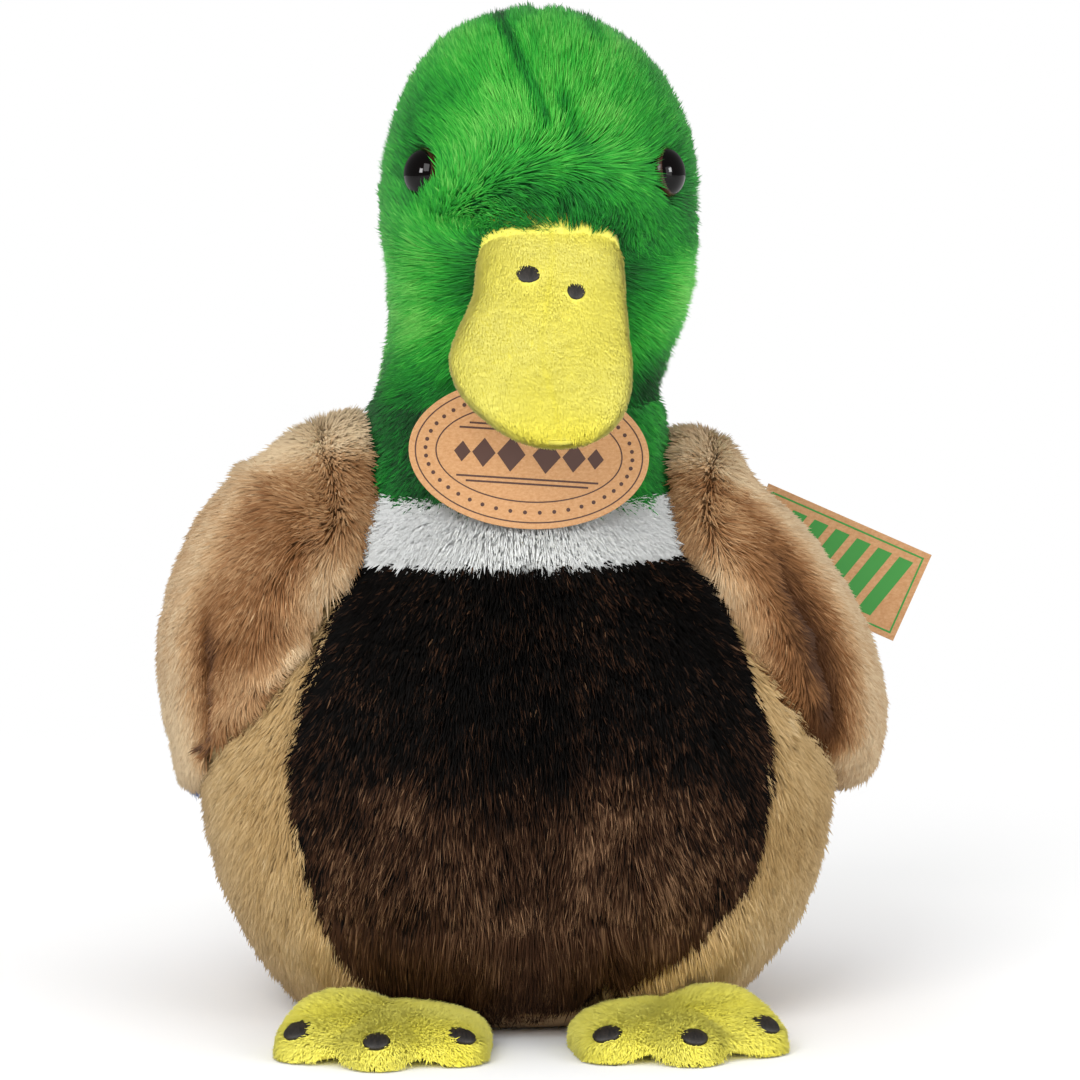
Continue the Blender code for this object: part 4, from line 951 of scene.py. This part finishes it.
wingPileSizes = {**longPile, "length": 6.2, "lift": 3.8, "tuft": 3.6}
stripeFrom, stripeTo = wingShape["stripe"]
for number, (side, sign) in enumerate((("left", 1), ("right", -1))):
    body = "wing_" + side
    addCloth("wing_lining_" + side, body, "lining_cloth", wingLayer(sign, 0.02, 1.5, 0), 40, 24,
             liningCloth, 0, 1.1)
    addCloth("wing_stuffing_" + side, body, "fibre_fill", wingLayer(sign, 0.06, 2.6, 1), 40, 24,
             fibreFill, 0, 1.0)
    for layer, start, stop, finish, backing, pileOf, count, columns in (
            ("wing_cover_", 0, stripeFrom, "brown_plush", wingBack, wingPile, 34000, 40),
            ("wing_stripe_", stripeFrom, stripeTo, "blue_plush", blueBack, bluePile, 7000, 10),
            ("wing_tip_", stripeTo, 1, "feather_plush", featherBack, featherPile, 9500, 20)):
        surface = wingSurface(sign, start, stop)
        addCloth(layer + side, body, finish, surface, columns, 34, backing, 3.3, 4.2)
        growPile(layer + side, body, finish, surface, pileOf,
                 {**wingPileSizes, "count": count, "short": lambda u, v: 0.6 + 0.4 * wingThin(sign, v)},
                 wingComb(surface, sign, start, stop), wingTone(sign, start, stop),
                 500 + 10 * number + columns)

# Feet
footShape = {"out": {1: 27.5, -1: 28.8}, "front": 51, "reachFront": 17, "reachRear": 13.5, "halfWidth": 20,
             "toeLength": 6.0, "toes": (-42, 11, 64), "webs": (-16, 38), "webWidth": 9, "spread": 21,
             "toeHeight": 8.6, "heelHeight": 10, "outerHeel": 6, "base": 0.7, "arch": 2.2}


# How much of the web between two toes lies in a direction, from 0 to 1
def webShare(side, turn):
    return sum(np.exp(-((turn - side * math.radians(at)) / math.radians(footShape["webWidth"])) ** 2)
               for at in footShape["webs"])


# Edge = ellipse, longer in front, plus a smooth bump at each toe
def footEdge(side, turn):
    reach = np.where(np.cos(turn) > 0, footShape["reachFront"], footShape["reachRear"])
    edge = 1 / np.sqrt((np.cos(turn) / reach) ** 2 + (np.sin(turn) / footShape["halfWidth"]) ** 2)
    for toe in footShape["toes"]:
        off = (turn - side * math.radians(toe)) / math.radians(footShape["spread"])
        edge = edge + footShape["toeLength"] * np.exp(-off ** 2)
    return edge * mm


def footSurface(side):
    middle = np.array([side * footShape["out"][side], -footShape["front"], 0]) * mm

    # Share out = sin(bow) ^ 0.85 and height = cos(bow) ^ 0.75 of the crest, pressed in and arched at the webs
    def surface(u, v, out):
        u, v = np.broadcast_arrays(np.asarray(u, float), np.asarray(v, float))
        turn = (2 * u - 1) * math.pi
        bow = (1 - v) * math.pi / 2
        share = np.sin(bow).clip(0, 1) ** 0.85
        spoke = np.stack([np.sin(turn), -np.cos(turn), 0 * turn], axis=-1)
        flat = middle + spoke * ((footEdge(side, turn) + out) * share)[..., None]
        ahead = (middle[1] - flat[..., 1]) / (footShape["reachFront"] * mm)
        crest = np.interp(ahead, (-1, 1), (footShape["heelHeight"], footShape["toeHeight"])) * mm
        outer = side * np.sin(turn) * share * rise(0.7, -0.3, ahead)
        crest = crest + footShape["outerHeel"] * mm * np.clip(outer, 0, 1)
        web = webShare(side, turn)
        base = (footShape["base"] + footShape["arch"] * web * share ** 3) * mm
        tall = np.cos(bow).clip(0, 1) ** 0.6 * (1 - 0.42 * web * share ** 3)
        flat[..., 2] = base + (crest - base + out) * tall
        return flat
    return surface


# Closed sole under the upper: level rings from its middle to its rim, below and then above
def soleRings(side):
    turn = np.linspace(-math.pi, math.pi, 72, endpoint=False)
    spoke = np.stack([np.sin(turn), -np.cos(turn), 0 * turn], axis=-1)
    spoke = spoke * (footEdge(side, turn) - 1.2 * mm)[:, None]
    middle = np.array([side * footShape["out"][side], -footShape["front"], 0]) * mm
    web = webShare(side, turn)
    levels = ((0.02, 0.25), (0.6, 0.25), (0.97, 0.3), (1.0, 0.8), (0.97, 1.3), (0.6, 1.4), (0.02, 1.4))
    rings = [middle + spoke * share + np.array([0, 0, height * mm]) for share, height in levels]
    for ring, (share, height) in zip(rings, levels):
        ring[:, 2] += web * share ** 3 * footShape["arch"] * 0.8 * mm
    return rings


def footComb(side):
    middle = np.array([side * footShape["out"][side], -footShape["front"] + 6, 14]) * mm
    return lambda root, normal, u, v: unit(root - middle)


# Hairs under the belly would stand in it, so they stay out of the body's form
def clearOfBody(root):
    return ~bodyForm.holds(root, -1.5 * mm)


footPileSizes = {**billPileSizes, "depth": 0.9, "count": 20000, "length": 2.1, "lift": 1.35, "tuft": 1.8,
                 "tuftPaintedShade": 0.1, "toneSpread": 0.05, "stray": 0.3, "swirl": 0.3, "mask": clearOfBody}
for number, (side, sign) in enumerate((("left", 1), ("right", -1))):
    surface = footSurface(sign)
    turns = np.linspace(0, 1, 96, endpoint=False)[None, :]
    body = "foot_" + side
    addBlob("foot_upper_" + side, body, "yellow_plush",
            surface(turns, np.linspace(0, 1, 24)[:, None], -0.7 * mm), yellowBack)
    addBlob("foot_sole_" + side, body, "yellow_plush", soleRings(sign), yellowBack)
    spots = [((0.5 + sign * at / 360, 0.35), (0.023, 0.155)) for at in footShape["toes"]]
    addSpots("foot_" + side, body, surface, spots, 0.7, 1.2)
    growPile("foot_upper_" + side, body, "yellow_plush", surface, footPileWithPaintedLight,
             {**footPileSizes, "spots": spots}, footComb(sign),
             lambda root, u, v: 0.55 + 0.3 * (spaceNoise(root, 8 * mm, 81) - 0.5), 600 + number)
print("bill, tail, wings and feet done")


# Base: a flat disc out to the body's first ring, then up its skin to the seam
def baseSurface(u, v, out):
    u, v = np.broadcast_arrays(np.asarray(u, float), np.asarray(v, float))
    place = bodyForm.placeAt((bodyShape["baseSeam"] - 0.15) * mm) * np.clip((v - 0.6) / 0.4, 0, 1)
    rim = bodyForm.moved(place, (2 * u - 1) * math.pi, np.minimum(out, 0))
    share = np.clip(v / 0.6, 0, 1)
    points = rim * np.stack([share, share, np.ones_like(share)], axis=-1)
    points[..., 2] = np.maximum(points[..., 2], 0.2 * mm - out)
    return points


baseCloth = grainMaterial("brown short plush underside", "#8B6A42", "#B08C5E", 0.9, sheen=0.1)
addCloth("base_panel", "duck_body", "tan_plush", baseSurface, 72, 26, baseCloth, 0, 1.5, closed=True)

# The long pile hangs over the base seam all round, and in front it falls over the feet
# low is the height where such a band of pile starts, in millimetres
rimSizes = {**longPile, "length": 5.2, "low": 1.2}
fringeSizes = {**longPile, "length": 9, "lift": 5.2, "stray": 0.05, "swirl": 0.1, "pull": 0.25, "low": 12}
fringeEnd = 0.95
for number, (name, start, stop, high, finish, pileOf, sizes, count, tone) in enumerate((
        ("breast_rim", breastSeam(-1), breastSeam(1), 8, "dark_plush", breastPile, rimSizes, 3500, 0.4),
        ("flank_left_rim", breastSeam(1), math.pi, 8, "tan_plush", tanPile, rimSizes, 4000, 0.35),
        ("flank_right_rim", -math.pi, breastSeam(-1), 8, "tan_plush", tanPile, rimSizes, 4000, 0.35),
        ("breast_fringe", breastSeam(-1), breastSeam(1), 27, "dark_plush", breastPile, fringeSizes, 6000, 0.5),
        ("flank_left_fringe", breastSeam(1), fringeEnd, 24, "tan_plush", tanPile, fringeSizes, 3500, 0.6),
        ("flank_right_fringe", -fringeEnd, breastSeam(-1), 24, "tan_plush", tanPile, fringeSizes, 3500, 0.6))):
    rim = bodyPanel(start, stop, sizes["low"], high)
    growPile(name, "duck_body", finish, rim, pileOf, {**sizes, "count": count},
             lambda root, normal, u, v: root * np.array([1, 1, 0]) / (60 * mm) * 0.6 + down,
             lambda root, u, v: tone + 0.2 * (spaceNoise(root, 13 * mm, 21) - 0.5), 700 + number)


# Filling that follows a form from inside: level rings at a gap under its skin
def fillingRings(form, low, high, gap=5.2):
    height = np.linspace(low, high, 16)[:, None] * mm
    angle = np.linspace(-math.pi, math.pi, 48, endpoint=False)[None, :]
    return form.moved(form.placeAt(height), angle, -gap * mm)


bagValues = {"radius": 27.5, "low": 5.0, "high": 24.4}
bagTurn = np.linspace(-math.pi, math.pi, 48, endpoint=False)
bagHeight = np.linspace(0.02, 0.98, 12)[:, None]
bagRadius = bagValues["radius"] * (1 - np.abs(2 * bagHeight - 1) ** 3) ** (1 / 3)
bagLevel = bagValues["low"] + (bagValues["high"] - bagValues["low"]) * bagHeight + 0 * bagTurn
bagRings = np.stack([bagRadius * np.sin(bagTurn), -bagRadius * np.cos(bagTurn), bagLevel], axis=-1) * mm
addBlob("pellet_bag", "duck_body", "pellet_cloth", bagRings, pelletCloth)
addBlob("body_stuffing", "duck_body", "fibre_fill", fillingRings(bodyForm, 5, 110), fibreFill)
addBlob("neck_stuffing", "neck", "fibre_fill", fillingRings(bodyForm, 111, 129.8), fibreFill)
addBlob("head_stuffing", "head", "fibre_fill", fillingRings(headForm, 130.6, 210.6), fibreFill)

# Hang cards, each about its hole: an oval one on the neck and an oblong one behind the left wing
cardValues = {"thickness": 0.6, "holeRadius": 1.0, "printLift": 0.03,
              "oval": {"hole": (0, -41.0, 124.8), "half": (24.5, 15.4), "drop": 4.3, "tilt": -4},
              "oblong": {"hole": (54.881, 50.743, 87.774), "size": (40, 21), "inset": 3, "tilt": -24}}


# In-plane coordinates turned by the tilt, then set at the hole; back is towards +Y
def cardPoints(card, flat, behind):
    tilt = math.radians(cardValues[card]["tilt"])
    x, z = flat[..., 0], flat[..., 1]
    turned = np.stack([x * math.cos(tilt) - z * math.sin(tilt), 0 * x + behind,
                       x * math.sin(tilt) + z * math.cos(tilt)], axis=-1)
    return (np.array(cardValues[card]["hole"]) + turned) * mm


def ellipse(halfWidth, halfHeight, steps=96):
    turn = np.linspace(0, 2 * math.pi, steps, endpoint=False)
    return np.stack([halfWidth * np.cos(turn), halfHeight * np.sin(turn)], axis=-1)


# A closed loop of points along straight sides between corners
def straightLoop(corners, steps=16):
    corners = np.asarray(corners, float)
    share = np.linspace(0, 1, steps, endpoint=False)[:, None]
    return np.vstack([a + (b - a) * share for a, b in zip(corners, np.roll(corners, -1, axis=0))])


def rectangle(left, low, right, high, slant=0.0):
    return straightLoop([(left, low), (right, low), (right + slant, high), (left + slant, high)])


# Board with a round hole: front and back sheets with worn edges between them
def addCard(node, card, outline):
    rim = unit(outline) * cardValues["holeRadius"]
    middle = outline.mean(axis=0)
    worn = middle + (outline - middle) * 0.992
    thick = cardValues["thickness"]
    rings = [cardPoints(card, loop, behind) for loop, behind in (
        (rim, 0), (worn, 0), (outline, 0.15), (outline, thick - 0.15), (worn, thick), (rim, thick), (rim, 0))]
    faces = gridFaces(len(rings), len(outline), closed=True)[:, ::-1]
    piece = makeMesh(node + "_board", rings, faces, kraftBoard)
    piece.data.polygons.foreach_set("use_smooth", np.zeros(len(piece.data.polygons), bool))
    joinPoles(piece)
    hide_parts(node)
    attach(piece, node)


# Printed shapes just over the board, each between an outer and an inner loop, or about its own middle
def addPrint(node, card, shapes, ink):
    points, faces, first = [], [], 0
    for outer, inner in shapes:
        inner = np.broadcast_to(outer.mean(axis=0), outer.shape) if inner is None else inner
        count = len(outer)
        here = np.arange(count)
        beside = np.roll(here, -1)
        points.append(np.vstack([outer, inner]))
        faces.append(np.vstack([np.stack([here, beside, beside + count], axis=-1),
                                np.stack([here, beside + count, here + count], axis=-1)]) + first)
        first += 2 * count
    lifted = cardPoints(card, np.vstack(points), -cardValues["printLift"])
    piece = makeMesh(node + "_print", lifted, np.vstack(faces), ink)
    joinPoles(piece)
    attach(piece, node)


oval = cardValues["oval"]
ovalTilt = math.radians(oval["tilt"])
ovalMiddle = -oval["drop"] * np.array([math.sin(ovalTilt), math.cos(ovalTilt)])
addCard("neck_card", "oval", ovalMiddle + ellipse(*oval["half"]))
wide, high = oval["half"]
ringWide, dotIn, dotRadius = 0.28, 3.4, 0.42
ovalPrint = [(ovalMiddle + ellipse(wide - gap, high - gap),
              ovalMiddle + ellipse(wide - gap - ringWide, high - gap - ringWide)) for gap in (1.2, 5.4)]
ovalPrint += [(ovalMiddle + dot + ellipse(dotRadius, dotRadius, 12), None)
              for dot in ellipse(wide - dotIn, high - dotIn, 44)]
ovalPrint += [(ovalMiddle + rectangle(-reach, row - 0.2, reach, row + 0.2), None)
              for reach, row in ((12.5, 5.6), (14.5, 4.6), (14.5, -5.2), (12.5, -6.2))]
for place, size in ((-13.6, 1.7), (-9.2, 2.4), (-3.6, 2.9), (3.6, 2.9), (9.2, 2.4), (13.6, 1.7)):
    diamond = straightLoop([(-size, 0), (0, -size * 1.25), (size, 0), (0, size * 1.25)])
    ovalPrint.append((ovalMiddle + (place, -0.3) + diamond, None))
addPrint("neck_card", "oval", ovalPrint, brownInk)

oblong = cardValues["oblong"]
left = low = -oblong["inset"]
right, high = left + oblong["size"][0], low + oblong["size"][1]
addCard("side_card", "oblong", rectangle(left, low, right, high))
oblongPrint = [(rectangle(left + 1.3, low + 1.3, right - 1.3, high - 1.3),
                rectangle(left + 1.7, low + 1.7, right - 1.7, high - 1.7))]
bar = {"inset": 3.2, "width": 3.4, "slant": 4, "first": 3.5, "last": 9, "step": 5.2}
for start in np.arange(left + bar["first"], right - bar["last"], bar["step"]):
    oblongPrint.append((rectangle(start, low + bar["inset"], start + bar["width"], high - bar["inset"],
                                  bar["slant"]), None))
addPrint("side_card", "oblong", oblongPrint, greenInk)

for name, finish in (("neck_card_pin", clearNylon), ("side_card_pin", clearNylon),
                     ("eye_washer_left", whiteNylon), ("eye_washer_right", whiteNylon)):
    bpy.data.objects[name].material_slots[0].material = finish
print("base, filling and cards done")

# Stage, light and camera
# White paper: near the duck it takes its shadow, and far from it the camera sees plain white
floorMaterial, floorTree, floorShader = startMaterial("white paper floor")
floorShader.inputs["Base Color"].default_value = linear("#FCFCFC")
floorShader.inputs["Roughness"].default_value = 1.0
floorShader.inputs["Specular IOR Level"].default_value = 0.0
floorPlace = addNode(floorTree, "ShaderNodeTexCoord")
floorOut = addNode(floorTree, "ShaderNodeVectorMath", {"operation": "LENGTH"},
                   [(floorPlace.outputs["Object"], "Vector")])
floorFar = addNode(floorTree, "ShaderNodeMapRange", {"interpolation_type": "SMOOTHSTEP", "From Min": 0.12,
                                                     "From Max": 0.45}, [(floorOut.outputs["Value"], "Value")])
floorRays = addNode(floorTree, "ShaderNodeLightPath")
floorShare = addNode(floorTree, "ShaderNodeMath", {"operation": "MULTIPLY"},
                     [(floorFar.outputs["Result"], 0), (floorRays.outputs["Is Camera Ray"], 1)])
floorWhite = addNode(floorTree, "ShaderNodeEmission", {"Color": (1, 1, 1, 1), "Strength": 1.0})
floorMix = addNode(floorTree, "ShaderNodeMixShader",
                   links=[(floorShare.outputs["Value"], 0), (floorShader.outputs["BSDF"], 1),
                          (floorWhite.outputs["Emission"], 2)])
floorTree.links.new(floorMix.outputs["Shader"], floorTree.nodes["Material Output"].inputs["Surface"])
paper = makeMesh("floor", [(-3, -3, 0), (3, -3, 0), (3, 3, 0), (-3, 3, 0)], [(0, 1, 2, 3)], floorMaterial)

world = bpy.data.worlds.new("white studio")
world.use_nodes = True
bpy.context.scene.world = world
tree = world.node_tree
surround = tree.nodes["Background"]
surround.inputs["Color"].default_value = (1, 1, 1, 1)
surround.inputs["Strength"].default_value = 0.9
plainWhite = addNode(tree, "ShaderNodeBackground", {"Color": (1, 1, 1, 1), "Strength": 1.0})
dimmer = addNode(tree, "ShaderNodeBackground", {"Color": (1, 1, 1, 1), "Strength": 0.25})
rays = addNode(tree, "ShaderNodeLightPath")
# The gloss of the eyes sees a dark room with softboxes, as their black in the photo shows
seenInGloss = addNode(tree, "ShaderNodeMixShader", links=[(rays.outputs["Is Glossy Ray"], 0),
                                                          (surround.outputs["Background"], 1),
                                                          (dimmer.outputs["Background"], 2)])
seen = addNode(tree, "ShaderNodeMixShader", links=[(rays.outputs["Is Camera Ray"], 0),
                                                   (seenInGloss.outputs["Shader"], 1),
                                                   (plainWhite.outputs["Background"], 2)])
tree.links.new(seen.outputs["Shader"], tree.nodes["World Output"].inputs["Surface"])


def addLamp(name, place, size, power, aim=(0, 0, 0.1)):
    lamp = bpy.data.objects.new(name, bpy.data.lights.new(name, "AREA"))
    lamp.data.size = size
    lamp.data.energy = power
    lamp.location = place
    lamp.rotation_euler = (Vector(aim) - Vector(place)).to_track_quat("-Z", "Y").to_euler()
    bpy.context.scene.collection.objects.link(lamp)
    return lamp


addLamp("key softbox", (-0.5, -1.05, 0.8), 0.7, 9.3)
addLamp("fill softbox", (0.85, -0.9, 0.4), 0.7, 4)
# Softboxes at both sides that only gloss sees: the white spots in the eyes
for side in (-1, 1):
    addLamp("catchlight", (side * 1.0, -0.75, 0.5), 0.32, 9.0, (0, -0.03, 0.18)).visible_diffuse = False

cameraValues = {"elevation": 6, "azimuth": -4, "distance": 1.1, "metrePerPixel": 0.0002113,
                "base": (516, 1004), "picture": 1080}
half = cameraValues["picture"] / 2
pixel = cameraValues["metrePerPixel"]
elevation, azimuth = (math.radians(cameraValues[key]) for key in ("elevation", "azimuth"))
toCamera = Vector((math.sin(azimuth) * math.cos(elevation), -math.cos(azimuth) * math.cos(elevation),
                   math.sin(elevation)))
sideways = Vector((math.cos(azimuth), math.sin(azimuth), 0))
target = sideways * (half - cameraValues["base"][0]) * pixel
target.z = (cameraValues["base"][1] - half) * pixel / math.cos(elevation)
camera = bpy.data.objects.new("camera", bpy.data.cameras.new("camera"))
camera.data.angle = 2 * math.atan(half * pixel / cameraValues["distance"])
camera.location = target + toCamera * cameraValues["distance"]
camera.rotation_euler = (-toCamera).to_track_quat("-Z", "Y").to_euler()
bpy.context.scene.collection.objects.link(camera)
bpy.context.scene.camera = camera
bpy.context.scene.view_settings.view_transform = "Standard"
